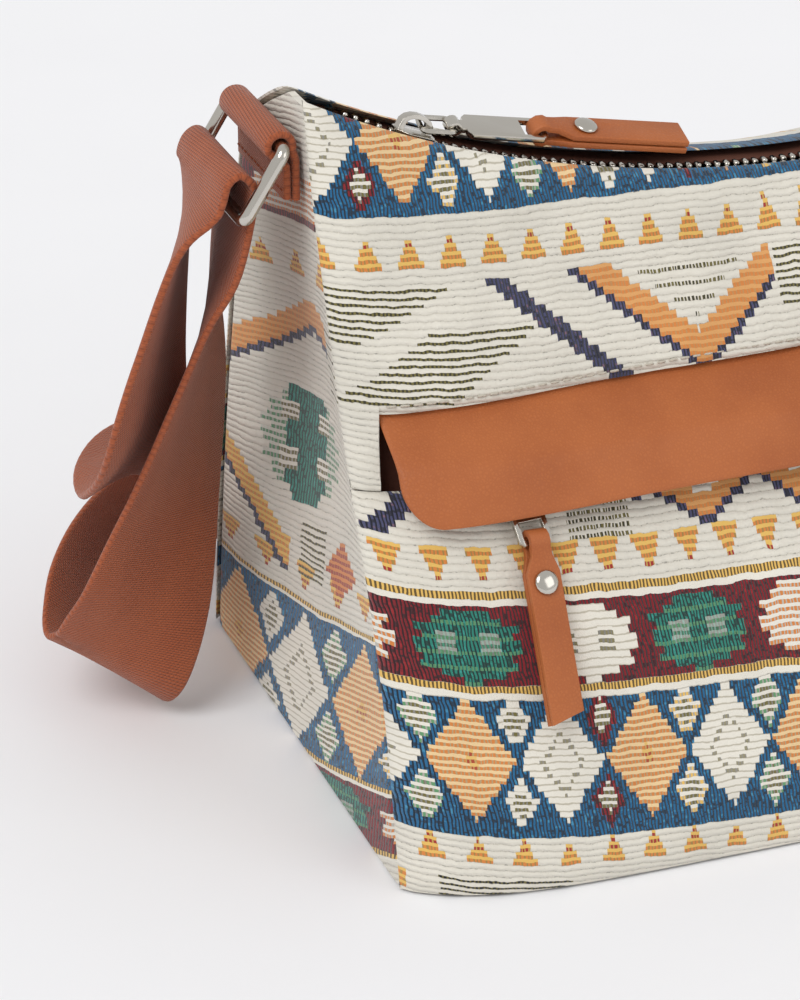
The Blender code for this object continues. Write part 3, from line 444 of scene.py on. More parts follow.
    def large_diamonds(self, uq: Num, band: Num, inside: Num, start: float, pitch: float, middle: float,
                       wide: float, high: float) -> None:
        """Lays the row of large diamonds, in turn orange and cream."""
        g = self.cells[0]
        reach = uq.folded(start, pitch) / wide + abs(band - middle) / high
        big = (reach < 1.0) * inside
        odd = (uq.count(start, pitch) % 2) > 0.5
        core = (reach < 0.55) * (1 - (reach < 0.42))
        warm = g.mix(self.hatched(self.orange, linear(232, 200, 150), 0.45), self.hatched(self.red, self.yellow, 0.3),
                     (reach < 0.16) * 0.8)
        self.lay(big * (1 - odd), warm, 0.5)
        ribs = self.plain_cream()
        pale = g.mix(ribs, self.hatched(self.olive, self.cream, 0.8), core * 0.8)
        self.lay(big * odd, pale, 0.85)

    def plain_cream(self) -> Num:
        """Cream rib colour without specks, darker in the rib valleys as painted shade."""
        g, _, _, _, _, _, part = self.cells
        return g.mix(self.cream, self.cream_painted_shade, 1 - (part * math.pi).sine().ease(0.0, 0.6))

    def small_diamonds(self, uq: Num, band: Num, inside: Num, start: float, pitch: float, middle: float,
                       apart: float) -> None:
        """Lays the pairs of small diamonds between the large ones."""
        g = self.cells[0]
        reach = uq.folded(start, pitch) / 4.3 + abs(abs(band - middle) - apart) / 6.3
        small = (reach < 1.0) * inside
        turn = uq.count(start, pitch) % 4
        rim = reach > 0.62
        fill = self.hatched(self.olive, self.cream, 0.7)
        edge = g.mix(self.hatched(self.leaf, self.cream), self.plain_cream(), turn.between(0.5, 1.5))
        edge = g.mix(edge, self.woven(self.maroon, self.red), turn.between(1.5, 2.5))
        edge = g.mix(edge, self.hatched(self.yellow, self.cream), turn > 2.5)
        self.lay(small, g.mix(fill, edge, rim), 0.55)

    def medallion_band(self, uq: Num, vq: Num, low: float, high: float, start: float, pitch: float) -> None:
        """Maroon band with ragged medallions, in turn green, cream, green and orange."""
        g, _, _, _, _, row, _ = self.cells
        band = vq.between(low, high)
        self.lay(band, self.woven(self.maroon, linear(168, 40, 42)), self.thread_height)
        middle = (low + high) / 2
        rise = abs(vq - middle) / ((high - low) / 2 - 0.6)
        ragged = (row * 2.39).sine() * 1.2
        wide = (1 - rise * rise).most(0.0) ** 0.5 * 12.2 + ragged
        inside = (uq.folded(start, pitch) < wide) * (rise < 1.0) * band
        turn = uq.count(start, pitch) % 4
        heart = (abs(uq.folded(start, pitch) - 5.0) < 2.2) * (rise < 0.35)
        teal = g.mix(self.woven(self.green, linear(60, 158, 150)), self.hatched(self.leaf, self.cream, 0.4),
                     (self.dash * ((row % 2) > 0.5)).most(heart * 0.5) * 0.75)
        pale = g.mix(self.plain_cream(), self.hatched(self.olive, self.cream, 0.8), heart * 0.9)
        warm = self.hatched(self.orange, self.cream, 0.4)
        fill = g.mix(teal, pale, turn.between(0.5, 1.5))
        fill = g.mix(fill, warm, turn > 2.5)
        self.lay(inside, fill, 0.6)

    def lines(self, vq: Num, v: Num) -> None:
        """Thin white, yellow and dotted lines that edge the bands of the panels."""
        g, _, _, _, _, _, part = self.cells
        self.edging(v, 50.4, 53.4, True)
        self.edging(v, 70.6, 73.6, False)

    def edging(self, v: Num, low: float, high: float, under: bool) -> None:
        """White line beside a row of yellow and ink dots.

        Args:
            v: height up the cloth.
            low: lower edge.
            high: upper edge.
            under: puts the white line at the lower edge.
        """
        g = self.cells[0]
        u = self.cells[1]
        middle = (low + high) / 2
        white = v.between(low, middle - 0.1) if under else v.between(low, middle - 0.2)
        dots = v.between(middle - 0.1, high)
        dot = (u / 0.9).fract() < 0.5
        self.lay(dots, g.mix(self.yellow, self.ink, dot * 0.85), 0.35)
        self.lay(white, self.cream, 0.7)

    def triangles(self, uq: Num, vq: Num, low: float, high: float, start: float, pitch: float, up: bool) -> None:
        """Row of small stepped triangles.

        Args:
            uq: stepped place along the row.
            vq: stepped height.
            low: lower edge of the row.
            high: upper edge of the row.
            start: place of one triangle.
            pitch: distance between triangles.
            up: points them upwards.
        """
        g = self.cells[0]
        share = (high - vq) / (high - low) if up else (vq - low) / (high - low)
        mask = (uq.folded(start, pitch) < share * 3.3 + 0.2) * vq.between(low, high)
        tip = share < 0.45
        fill = g.mix(self.hatched(self.orange, self.yellow, 0.55), self.hatched(self.red, self.yellow, 0.35), tip)
        self.lay(mask, fill, 0.5)

    def diagonals(self, uq: Num, vq: Num) -> None:
        """Slanting hatched fields, navy bars and orange chevrons of the wide cream zone."""
        g, u, v, _, _, row, part = self.cells
        x = (uq + 132) % 118 - 132
        line = (part < 0.36)
        dotted = g.mix(self.olive, self.ink, ((u / 1.0).fract() < 0.5) * 0.8)
        first = vq.between(124.5, 137.5) * (x < -100 - (137.5 - vq) * 2.0) * (x > -131)
        second = vq.between(112, 128) * (x - (128 - vq) * -1.6).between(-106.5, -79)
        self.lay((first.most(second)) * line, dotted, 0.25)
        bar = abs(x + 88 - (137 - vq) * 1.27) < 3.1
        self.lay(bar * vq.between(109, 137.5), self.woven(self.navy, linear(150, 108, 112)), self.thread_height)
        bar = abs(x + 122 - (vq - 89) * 1.25) < 3.0
        self.lay(bar * vq.between(84, 96), self.woven(self.navy, linear(150, 108, 112)), self.thread_height)
        arm = vq - 114.5 - abs(x + 36.5) * 0.76
        zone = vq.between(110, 138.5) * (x > -70)
        self.lay(arm.between(-0.2, 7.2) * zone, self.hatched(self.orange, linear(216, 158, 96), 0.25), 0.5)
        self.lay(arm.between(-2.0, 0.0) * zone, self.woven(self.navy, linear(120, 90, 120)), 0.3)
        self.lay((arm > 10.5) * zone * (self.dash * ((row % 2) > 0.5)) * (abs(x + 36.5) < 17), dotted, 0.25)
        low = vq - 83.5 - (uq.folded(-43.5, 29.0)) * 0.62
        field_ = vq.between(83, 97) * (x > -62)
        self.lay(low.between(0, 5.0) * field_, self.hatched(self.orange, linear(216, 158, 96), 0.3), 0.5)
        self.lay(low.between(-1.6, 0.0) * field_, self.woven(self.navy, linear(120, 90, 120)), 0.3)
        dots = vq.between(83, 94) * x.between(-80, -64) * self.dash
        self.lay(dots, dotted, 0.25)

    def gusset_figures(self) -> None:
        """Bands and figures of the side cloth, where U runs from the front seam to the back."""
        g, u, v, uq, vq, row, part = self.cells
        line = part < 0.36
        dotted = g.mix(self.olive, self.ink, ((u / 1.0).fract() < 0.5) * 0.8)
        blue = vq.between(5.0, 43.4)
        band = (vq - 5.0) * 0.83 + 18.5
        self.lay(blue, self.woven(self.blue, linear(76, 156, 192)), self.thread_height)
        self.large_diamonds(uq, band, blue, -20.0, 21.8, 34.0, 10.4, 15.5)
        self.small_diamonds(uq, band, blue, -9.1, 21.8, 34.0, 9.6)
        self.edging(v, 43.4, 45.4, True)
        self.medallion_band(uq, vq, -12.5, 2.6, -11.0, 29.0)
        self.edging(v, 2.8, 5.0, True)
        self.edging(v, -15.0, -12.6, False)
        self.triangles(uq, vq, 48.5, 54.6, 3.2, 12.0, False)
        self.triangles(uq, vq, 129.5, 136.4, 4.4, 11.6, True)
        rise = abs(vq - 84.0) / 14.0
        wide = (1 - rise * rise).most(0.0) ** 0.5 * 12.0 + (row * 2.39).sine() * 1.4
        bloom = (abs(uq - 5.0) < wide) * (rise < 1)
        eye = (abs(abs(uq - 5.0) - 5.5) < 2.3) * (abs(abs(vq - 84) - 6.0) < 2.4)
        teal = g.mix(self.woven(self.green, linear(60, 158, 150)), self.hatched(self.leaf, self.cream, 0.4),
                     (abs(uq - 5.0) > 6.5) * 0.8)
        self.lay(bloom, g.mix(teal, self.hatched(self.olive, self.cream), eye), 0.55)
        arm = vq - 117.0 + abs(uq - 1.0) * 0.62
        self.lay(arm.between(0, 7.0) * (uq > -6), self.hatched(self.orange, linear(216, 158, 96), 0.3), 0.5)
        self.lay(arm.between(-2.2, 0) * (uq > -6), self.woven(self.navy, linear(130, 100, 120)), 0.3)
        low = vq - 52.0 - abs(uq - 10.0) * 1.12
        low_in = (uq > 9.0) * (vq < 104)
        self.lay(low.between(0, 7.5) * low_in, self.hatched(self.orange, self.yellow, 0.3), 0.5)
        self.lay(low.between(-2.4, 0) * low_in, self.woven(self.navy, linear(130, 100, 120)), 0.3)
        chunk = (abs(uq + 10.0) + abs(vq - 58.0) * 0.9) < 6.5
        self.lay(chunk, self.hatched(self.red, self.orange, 0.4), 0.5)
        hatch = vq.between(52, 66) * (abs(uq - 1.5) < 4.5)
        hatch = hatch.most(vq.between(100, 122) * uq.between(-18, -6) * ((row % 2) > 0.5))
        self.lay(hatch * line, dotted, 0.25)
        top = vq.between(146.2, 156.5)
        self.lay(top, self.hatched(self.orange, self.cream, 0.5), 0.5)
        self.lay(vq.between(143.6, 146.3), self.woven(self.maroon, self.red), 0.4)
        bloom = abs(uq - 17) + abs(vq - 160) * 0.8 < 7
        self.lay(bloom, self.woven(self.maroon, self.red), 0.4)


@dataclass(frozen=True)
class Leather:
    """Tan leather with a fine pebble grain, darker in its grooves as painted shade, and paler, rougher cut edges whose
    paleness is partly their own colour and partly a painted highlight.
    """

    name: str = "tan_leather"
    tint: tuple = linear(180, 102, 52)
    deep: tuple = linear(150, 76, 34)

    def material(self) -> bpy.types.Material:
        """Builds the leather's material."""
        g = Graph(self.name)
        spot = g.place()
        pebble = g.node("ShaderNodeTexVoronoi", {"feature": "DISTANCE_TO_EDGE"}, {"Vector": spot, "Scale": 1150.0})
        grain = g.num(pebble, "Distance").ease(0.0, 0.35)
        crease = g.noise(spot, 260.0, 4.0, 0.6)
        tone = g.noise(spot, 38.0, 3.0).ease(0.3, 0.72)
        # painted shade: darker in the pebble grooves; the tone term is random
        colour = g.mix(self.tint, self.deep, (1 - tone) * 0.45 + (1 - grain) * 0.25)
        # painted highlight: paler along the sharp cut edges where they catch the light, over their own paler colour
        edge = g.num(g.node("ShaderNodeNewGeometry"), "Pointiness").ease(0.52, 0.60)
        colour = g.mix(colour, linear(196, 118, 70), edge * 0.35)
        g.set(Base_Color=colour, Roughness=0.42 + crease * 0.22)
        g.shader.inputs["Specular IOR Level"].default_value = 0.42
        g.bump(grain * 0.5 + crease * 0.6, 0.10 * MM, 0.8)
        return g.material


@dataclass(frozen=True)
class Webbing:
    """Rust webbing in a fine twill, darker in its hollows and pits as painted shade, with selvages; the map is across
    and along, in millimetres.
    """

    name: str = "rust_webbing"
    tint: tuple = linear(166, 86, 50)
    deep: tuple = linear(112, 50, 27)
    half: float = 18.5

    def material(self) -> bpy.types.Material:
        """Builds the webbing's material."""
        g = Graph(self.name)
        u, v, _ = g.split(g.uv())
        twill = (v / 0.64 + u * 0.10).fract()
        thread = (u / 1.05 + (v / 0.64 + u * 0.10).floor() * 0.37).fract()
        weave = (twill * math.pi).sine() * 0.6 + (thread * math.pi).sine() * 0.4
        # pits between the threads, darkened below as painted shade
        pit = (twill < 0.22) * (thread < 0.45)
        selvage = (abs(u) / self.half).ease(0.955, 0.97)
        chain = ((v / 2.1 + (abs(u) - self.half * 0.97) * 0.5).fract() * math.pi).sine()
        tone = g.noise(g.join(u, v * 0.4), 0.12, 2.0).ease(0.3, 0.7)
        # painted shade: darker in the twill's hollows
        colour = g.mix(self.deep, self.tint, (weave * 0.75 + 0.30).least(1.0))
        colour = g.mix(colour, linear(180, 98, 58), tone * 0.25)
        colour = g.mix(colour, linear(60, 24, 14), pit * 0.62)
        colour = g.mix(colour, g.mix(self.deep, self.tint, chain), selvage * 0.35)
        g.set(Base_Color=colour, Roughness=0.72, Sheen_Weight=0.2)
        g.shader.inputs["Specular IOR Level"].default_value = 0.3
        height = weave * (1 - selvage) + (chain * 0.6 + 0.35) * selvage
        g.bump(height, 0.30 * MM, 0.9)
        return g.material


@dataclass(frozen=True)
class Nickel:
    """Polished nickel plate with faint handling marks."""

    name: str = "polished_nickel"

    def material(self) -> bpy.types.Material:
        """Builds the metal's material."""
        g = Graph(self.name)
        spot = g.place()
        marks = g.noise(spot, 420.0, 3.0)
        smear = g.noise(spot, 60.0, 2.0)
        g.set(Base_Color=g.mix(linear(214, 210, 202), linear(188, 182, 172), smear), Metallic=1.0,
              Roughness=0.10 + marks * 0.10)
        g.bump(smear, 0.02 * MM, 0.4)
        return g.material


@dataclass(frozen=True)
class Suede:
    """Brown brushed lining."""

    name: str = "brown_lining"
    tint: tuple = linear(92, 48, 32)

    def material(self) -> bpy.types.Material:
        """Builds the lining's material."""
        g = Graph(self.name)
        spot = g.place()
        nap = g.noise(spot, 900.0, 3.0)
        cloud = g.noise(spot, 45.0, 2.0)
        g.set(Base_Color=g.mix(self.tint, linear(60, 30, 20), nap * 0.5 + cloud * 0.4), Roughness=0.95,
              Sheen_Weight=0.3)
        g.bump(nap, 0.15 * MM, 0.6)
        return g.material


@dataclass(frozen=True)
class Yarn:
    """Plain woven or twisted yarn goods, such as zip tape and sewing thread, darker between the yarns as painted shade.
    """

    name: str
    tint: tuple
    pitch: float = 0.6

    def material(self) -> bpy.types.Material:
        """Builds the yarn's material."""
        g = Graph(self.name)
        x, y, z = g.split(g.place())
        lines = (((x + z) / (self.pitch * MM)).fract() * math.pi).sine()
        cross = (((y + z * 0.4 - x * 0.3) / (self.pitch * MM)).fract() * math.pi).sine()
        weave = lines * 0.5 + cross * 0.5
        # painted shade: the yarn is darker between its threads
        dark = tuple(c * 0.55 for c in self.tint[:3]) + (1.0,)
        g.set(Base_Color=g.mix(dark, self.tint, weave), Roughness=0.85)
        g.bump(weave, 0.15 * MM, 0.8)
        return g.material


@dataclass(frozen=True)
class Paint:
    """Matt surface with a slight mottle, for the stiff board and the floor."""

    name: str
    tint: tuple
    rough: float = 0.9

    def material(self) -> bpy.types.Material:
        """Builds the material."""
        g = Graph(self.name)
        mottle = g.noise(g.place(), 12.0, 2.0)
        darker = tuple(c * 0.97 for c in self.tint[:3]) + (1.0,)
        g.set(Base_Color=g.mix(self.tint, darker, mottle), Roughness=self.rough)
        return g.material


class Finishes:
    """Every finish of the bag, built once."""

    def __init__(self) -> None:
        """Builds the materials."""
        self.panel = Weave(Cloth.PANEL).material()
        self.gusset = Weave(Cloth.GUSSET).material()
        self.leather = Leather().material()
        self.webbing = Webbing().material()
        self.nickel = Nickel().material()
        self.lining = Suede().material()
        self.tape = Yarn("brown_zip_tape", linear(96, 52, 34)).material()
        self.thread = Yarn("cream_thread", linear(214, 206, 190), 0.35).material()
        self.rust_thread = Yarn("rust_thread", linear(150, 74, 42), 0.35).material()
        self.board = Paint("grey_board", linear(120, 112, 98)).material()


# The bag's form, in the same values as the solids


@dataclass
class Form:
    """Faces of the bag's body."""

    half_width: float = 0.130
    half_depth: float = 0.076
    corner: float = 0.178
    middle: float = 0.148
    front_belly: float = 0.013
    back_belly: float = 0.010
    hollow: float = 0.007
    cloth: float = 0.0018
    hem: float = 0.1085
    pocket_top: float = 0.0885
    front_seam: tuple = ((0.00, 1.00), (0.13, 0.925), (0.24, 0.855), (0.34, 0.765), (0.41, 0.685),
                         (0.56, 0.500), (0.72, 0.345), (0.86, 0.215), (1.00, 0.120))
    back_seam: tuple = ((0.00, 1.00), (0.20, 0.935), (0.40, 0.845), (0.58, 0.740), (0.76, 0.630),
                        (0.86, 0.560), (0.92, 0.455), (0.96, 0.300), (1.00, 0.110))

    def __post_init__(self) -> None:
        """Works out the arc of the top edge."""
        drop = self.corner - self.middle
        self.radius = (self.half_width**2 + drop**2) / (2 * drop)
        self.centre_z = self.middle + self.radius

    @staticmethod
    def smooth(points: Sequence[tuple[float, float]], s: float) -> float:
        """Value at s on a cubic through the points."""
        xs = [p[0] for p in points]
        ys = [p[1] for p in points]
        k = min(max(int(np.searchsorted(xs, s)) - 1, 0), len(xs) - 2)
        slopes = np.gradient(ys, xs)
        width = xs[k + 1] - xs[k]
        t = (s - xs[k]) / width
        a, b = 2 * t**3 - 3 * t**2 + 1, t**3 - 2 * t**2 + t
        c, d = -2 * t**3 + 3 * t**2, t**3 - t**2
        return float(a * ys[k] + b * width * slopes[k] + c * ys[k + 1] + d * width * slopes[k + 1])

    def ridge(self, x: float) -> float:
        """Height of the top edge."""
        return self.centre_z - math.sqrt(self.radius**2 - x * x)

    def pocket_edge(self, x: float) -> float:
        """Height of the pocket panel's top edge, which rises past the ends of the zip."""
        return self.pocket_top + 0.0030 * ease((abs(x) - 0.1090) / 0.0080)

    def hem_edge(self, x: float) -> float:
        """Height of the front's hem, which drops to the pocket panel past the ends of the flap."""
        closed = self.pocket_edge(self.half_width) + 0.0004
        return self.hem + (closed - self.hem) * ease((abs(x) - 0.1219) / 0.0018)

    def swell(self, x: float) -> float:
        """Share of the panels' belly at x."""
        return 1 - min(1.0, abs(x) / self.half_width) ** 8

    def front(self, x: float, z: float) -> float:
        """Y of the front's outer face."""
        s = min(z / self.ridge(x), 1.0)
        return -self.half_depth * self.smooth(self.front_seam, s) - self.front_belly * (1 - 0.77 * s**3) * self.swell(x)

    def back(self, x: float, z: float) -> float:
        """Y of the back's outer face."""
        s = min(z / self.ridge(x), 1.0)
        return self.half_depth * self.smooth(self.back_seam, s) + self.back_belly * (1 - 1.15 * s**3) * self.swell(x)

    def lean(self, face: Callable[[float, float], float], x: float, z: float) -> float:
        """How much further a depth reaches along Y where the face leans."""
        z = min(z, self.ridge(x) - 0.001)
        slope = (face(x, z + 0.001) - face(x, z - 0.001)) / 0.002
        return min(math.sqrt(1 + slope**2), 2.4)

    def front_in(self, x: float, z: float, depth: float) -> float:
        """Y of a layer behind the front's outer face."""
        return self.front(x, z) + depth * self.lean(self.front, x, z)

    def back_in(self, x: float, z: float, depth: float) -> float:
        """Y of a layer inside the back's outer face."""
        return self.back(x, z) - depth * self.lean(self.back, x, z)

    def side(self, t: float, z: float) -> float:
        """Half width at the gusset's outer face."""
        s = min(1.0, z / self.corner)
        return self.half_width - self.hollow * math.sin(math.pi * t) * math.sin(math.pi * s) ** 2


FORM = Form()


def ease(t: float) -> float:
    """Smooth step from 0 to 1."""
    t = min(max(t, 0.0), 1.0)
    return t * t * (3 - 2 * t)


def spread(low: float, high: float, count: int) -> list[float]:
    """Even steps from low to high."""
    return [low + (high - low) * k / count for k in range(count + 1)]


def piece(name: str, verts: Sequence, faces: Sequence, material: bpy.types.Material, body: str,
          uvs: Optional[Sequence] = None, sharp: float = 60.0) -> bpy.types.Object:
    """Makes a shown piece.

    Args:
        name: the piece's name.
        verts: points in metres.
        faces: corner lists.
        material: its finish.
        body: the body it rides on.
        uvs: map coordinates by point.
        sharp: angle in degrees above which edges stay sharp.

    Returns:
        The object.
    """
    mesh = bpy.data.meshes.new(name)
    mesh.from_pydata([tuple(v) for v in verts], [], faces)
    bm = bmesh.new()
    bm.from_mesh(mesh)
    bmesh.ops.recalc_face_normals(bm, faces=bm.faces)
    if uvs is not None:
        layer = bm.loops.layers.uv.new("UVMap")
        for face in bm.faces:
            for loop in face.loops:
                loop[layer].uv = uvs[loop.vert.index]
    bm.to_mesh(mesh)
    bm.free()
    mesh.materials.append(material)
    mesh.shade_smooth()
    mesh.set_sharp_from_angle(angle=math.radians(sharp))
    obj = bpy.data.objects.new(name, mesh)
    bpy.context.scene.collection.objects.link(obj)
    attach(obj, body)
    return obj


def shell(name: str, outer: Callable, inner: Callable, us: Sequence[float], vs: Sequence[float],
          chart: Callable, material: bpy.types.Material, body: str) -> bpy.types.Object:
    """Closed cloth between two surfaces of u and v, with a map.

    Args:
        name: the piece's name.
        outer: outer surface.
        inner: inner surface.
        us: steps across.
        vs: steps up.
        chart: map coordinates of u and v.
        material: its finish.
        body: the body it rides on.

    Returns:
        The object.
    """
    n, m = len(us), len(vs)
    verts = [outer(u, v) for v in vs for u in us] + [inner(u, v) for v in vs for u in us]
    chart_points = [chart(u, v) for v in vs for u in us]
    side = n * m
    faces = []
    for j in range(m - 1):
        for i in range(n - 1):
            a = j * n + i
            faces.append((a, a + 1, a + n + 1, a + n))
            faces.append((side + a + n, side + a + n + 1, side + a + 1, side + a))
    for i in range(n - 1):
        top = (m - 1) * n + i
        faces.append((i, side + i, side + i + 1, i + 1))
        faces.append((top, top + 1, side + top + 1, side + top))
    for j in range(m - 1):
        a, b = j * n, j * n + n - 1
        faces.append((a, a + n, side + a + n, side + a))
        faces.append((b, side + b, side + b + n, b + n))
    return piece(name, verts, faces, material, body, chart_points + chart_points)


def sections_piece(name: str, sections: Sequence, material: bpy.types.Material, body: str, closed: bool = False,
                   uvs: Optional[Sequence] = None, sharp: float = 60.0) -> bpy.types.Object:
    """Solid through sections with the same number of points."""
    n, count = len(sections[0]), len(sections)
    verts = [p for section in sections for p in section]
    faces = []
    for k in range(count if closed else count - 1):
        a, b = k * n, ((k + 1) % count) * n
        faces += [(a + i, a + (i + 1) % n, b + (i + 1) % n, b + i) for i in range(n)]
    if not closed:
        faces.append(tuple(range(n)))
        faces.append(tuple((count - 1) * n + i for i in reversed(range(n))))
    return piece(name, verts, faces, material, body, uvs, sharp)


def curve_points(points: Sequence[Vector], per: int) -> list[Vector]:
    """Smooth points through a list, with per steps to a span."""
    out = []
    for k in range(len(points) - 1):
        p0, p1 = points[max(k - 1, 0)], points[k]
        p2, p3 = points[k + 1], points[min(k + 2, len(points) - 1)]
        for i in range(per):
            t = i / per
            out.append(0.5 * (2 * p1 + (p2 - p0) * t + (2 * p0 - 5 * p1 + 4 * p2 - p3) * t**2
                              + (3 * p1 - p0 - 3 * p2 + p3) * t**3))
    out.append(points[-1].copy())
    return out


# Cloth body


@dataclass
class ClothBody:
    """Front, pocket, back, side, base and lining cloth."""

    finishes: Finishes
    columns: int = 150
    crease: float = 0.0011

    def stations(self, reach: float, count: int) -> list[float]:
        """Places across the width, closer together at the ends."""
        return [reach * math.sin(math.pi / 2 * t) * 0.55 + reach * t * 0.45 for t in spread(-1, 1, count)]

    def ripple(self, x: float, z: float, seed: float) -> float:
        """Slight unevenness of the cloth, always outwards."""
        broad = noise.noise(Vector((x * 26, z * 34, seed)))
        fine = noise.noise(Vector((x * 75, z * 95, seed + 7)))
        fade = ease((FORM.half_width - abs(x)) / 0.012) * ease(z / 0.01) * ease((FORM.ridge(x) - z) / 0.01)
        return self.crease * fade * max(0.0, 0.55 + broad * 0.9 + fine * 0.35)

    def rounded(self, x: float, z: float, low: float, high: float) -> float:
        """How far the outer face draws in at the piece's edges."""
        side = max(0.0, 1 - (FORM.half_width - abs(x)) / 0.0030)
        top = max(0.0, 1 - (high - z) / 0.0028)
        foot = max(0.0, 1 - (z - low) / 0.0035)
        return 0.0011 * side**2 + 0.0012 * top**2 + 0.0012 * foot**2

    @staticmethod
    def rows(x: float, z: float) -> tuple[float, float]:
        """Map of the front and back cloth, whose rows sag towards the middle."""
        sag = 9.0 - 3.0 * ease((z - 0.04) / 0.10)
        return (x / MM, z / MM + sag * (1 - (x / FORM.half_width) ** 2))

    def build(self) -> None:
        foot = 0.0006

        def front(low: Callable, high: Callable, seed: float) -> tuple[Callable, Callable, Callable]:
            """Surfaces and map of a front piece."""
            def height(x: float, v: float) -> float:
                """Height at v."""
                return low(x) + (high(x) - low(x)) * v

            def outer(x: float, v: float) -> tuple:
                """Outer face."""
                z = height(x, v)
                inward = self.rounded(x, z, low(x), high(x)) - self.ripple(x, z, seed)
                return (x, FORM.front_in(x, z, inward), z)

            def inner(x: float, v: float) -> tuple:
                """Inner face."""
                z = height(x, v)
                return (x, FORM.front_in(x, z, FORM.cloth), z)
            return outer, inner, lambda x, v: self.rows(x, height(x, v))

        xs = self.stations(FORM.half_width, self.columns)
        outer, inner, chart = front(FORM.hem_edge, FORM.ridge, 1.0)
        top = shell("front_cloth", outer, inner, xs, spread(0, 1, 44), chart, self.finishes.panel, "bag")
        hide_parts("front_panel")

        outer, inner, chart = front(lambda x: foot, FORM.pocket_edge, 4.0)
        pocket = shell("pocket_cloth", outer, inner, xs, spread(0, 1, 54), chart, self.finishes.panel, "bag")
        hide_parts("pocket_panel")
        self.build_back(foot)
        self.build_sides(foot)
        self.build_base()
        self.build_lining()

    def build_back(self, foot: float) -> None:
        """Builds the back cloth."""
        def height(x: float, v: float) -> float:
            """Height at v."""
            return foot + (FORM.ridge(x) - foot) * v

        def outer(x: float, v: float) -> tuple:
            """Outer face."""
            z = height(x, v)
            inward = self.rounded(x, z, foot, FORM.ridge(x)) - self.ripple(x, z, 9.0)
            return (x, FORM.back_in(x, z, inward), z)

        def inner(x: float, v: float) -> tuple:
            """Inner face."""
            z = height(x, v)
            return (x, FORM.back_in(x, z, FORM.cloth), z)

        rows = [1 - (1 - t) ** 1.25 for t in spread(0, 1, 84)]
        back = shell("back_cloth", outer, inner, self.stations(FORM.half_width, self.columns), rows,
                     lambda x, v: self.rows(-x, height(x, v)), self.finishes.panel, "bag")
        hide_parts("back_panel")

    def build_sides(self, foot: float) -> None:
        """Builds both gussets."""
        gap = FORM.cloth + 0.0004
        for side, name in ((-1, "left"), (1, "right")):
            def place(t: float, s: float, inward: float, sign: int = side) -> tuple:
                """Point of the gusset."""
                z = foot + (FORM.corner - 0.0014 - foot) * s
                edge = sign * (FORM.half_width - 1e-5)
                near = FORM.front_in(edge, z, gap)
                far = min(FORM.back_in(edge, z, gap), FORM.back_in(FORM.half_width - 0.0021, z, gap))
                crest = max(0.0, 1 - min(t, 1 - t) / 0.03)
                y = near + (far - near) * t
                fade = math.sin(math.pi * min(max(t, 0.0), 1.0)) * ease(z / 0.02) * ease((FORM.corner - z) / 0.02)
                fold = noise.noise(Vector((y * 30 + sign * 5, z * 22, 3.0))) * 0.0012 * fade
                return (sign * (FORM.side(t, z) - inward - 0.0010 * crest**2 * (inward == 0) + fold * (inward == 0)), y, z)

            def chart(t: float, s: float) -> tuple[float, float]:
                """Map of the gusset: the rows fall towards the back."""
                x, y, z = place(t, s, 0.0)
                across, up = y / MM, z / MM
                sag = 5.0 * (1 - ((across - 12) / 63) ** 2) * (1 - ease((up - 52) / 32))
                return (across * 0.45, up + across * 0.24 + sag)

            obj = shell(name + "_side_cloth", lambda t, s: place(t, s, 0.0), lambda t, s: place(t, s, FORM.cloth),
                        spread(0, 1, 70), [1 - (1 - t) ** 1.2 for t in spread(0, 1, 90)], chart,
                        self.finishes.gusset, "bag")
            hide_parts(name + "_gusset")

    def build_base(self) -> None:
        """Builds the base cloth, its edge rolled under."""
        def ring(inset: float, z: float) -> list[tuple]:
            """Outline of the base."""
            xs = self.stations(FORM.half_width - inset, 48)
            line = [(x, FORM.front(x, 0.0) + inset + 0.0008, z) for x in xs]
            return line + [(x, FORM.back(x, 0.0) - inset - 0.0008, z) for x in reversed(xs)]
        sections = [ring(0.0045, 0.0), ring(0.0022, 0.0006), ring(0.0020, 0.0016), ring(0.0030, 0.0021)]
        uvs = [(p[0] / MM, p[1] / MM * 0.5 - 40) for s in sections for p in s]
        obj = sections_piece("base_cloth", sections, self.finishes.panel, "bag", uvs=uvs)
        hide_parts("base_panel")

    def build_lining(self) -> None:
        """Builds the brown lining, with soft folds."""
        floor = 0.0054
        xs = [x for x in self.stations(FORM.half_width * 0.92, 90)]
        sides = spread(0, 1, 26)[1:-1]

        def depth(z: float) -> float:
            """Depth behind the front."""
            slim, deep = 0.0043, 0.0094
            return slim + (deep - slim) * (1 - ease((z - 0.1145) / 0.020)) + 0.0008

        def ring(share: float, inset: float, lift: float) -> list[tuple]:
            """One level of the lining."""
            front, back = [], []
            for x in xs:
                z = lift + (FORM.ridge(x) - 0.0078 - lift) * share
                wave = 0.0010 * max(0.0, noise.noise(Vector((x * 45, z * 30, 5.0)))) * ease((1 - share) * 4)
                front.append((x, FORM.front_in(x, z, depth(z) + inset + wave), z))
                back.append((x, FORM.back_in(x, z, 0.0036 + inset + wave), z))
            z = lift + (FORM.corner - 0.0078 - lift) * share
            near = FORM.front_in(FORM.half_width, z, depth(z) + inset)
            far = FORM.back_in(FORM.half_width, z, 0.0036 + inset)
            start, end = FORM.front_in(FORM.half_width, z, FORM.cloth), FORM.back_in(FORM.half_width, z, FORM.cloth)
            flank = []
            for t in sides:
                y = near + (far - near) * t
                along = min(max((y - start) / (end - start), 0), 1)
                flank.append((FORM.side(along, z) - FORM.cloth - 0.0014 - inset, y, z))
            return front + flank + list(reversed(back)) + [(-x, y, h) for x, y, h in reversed(flank)]

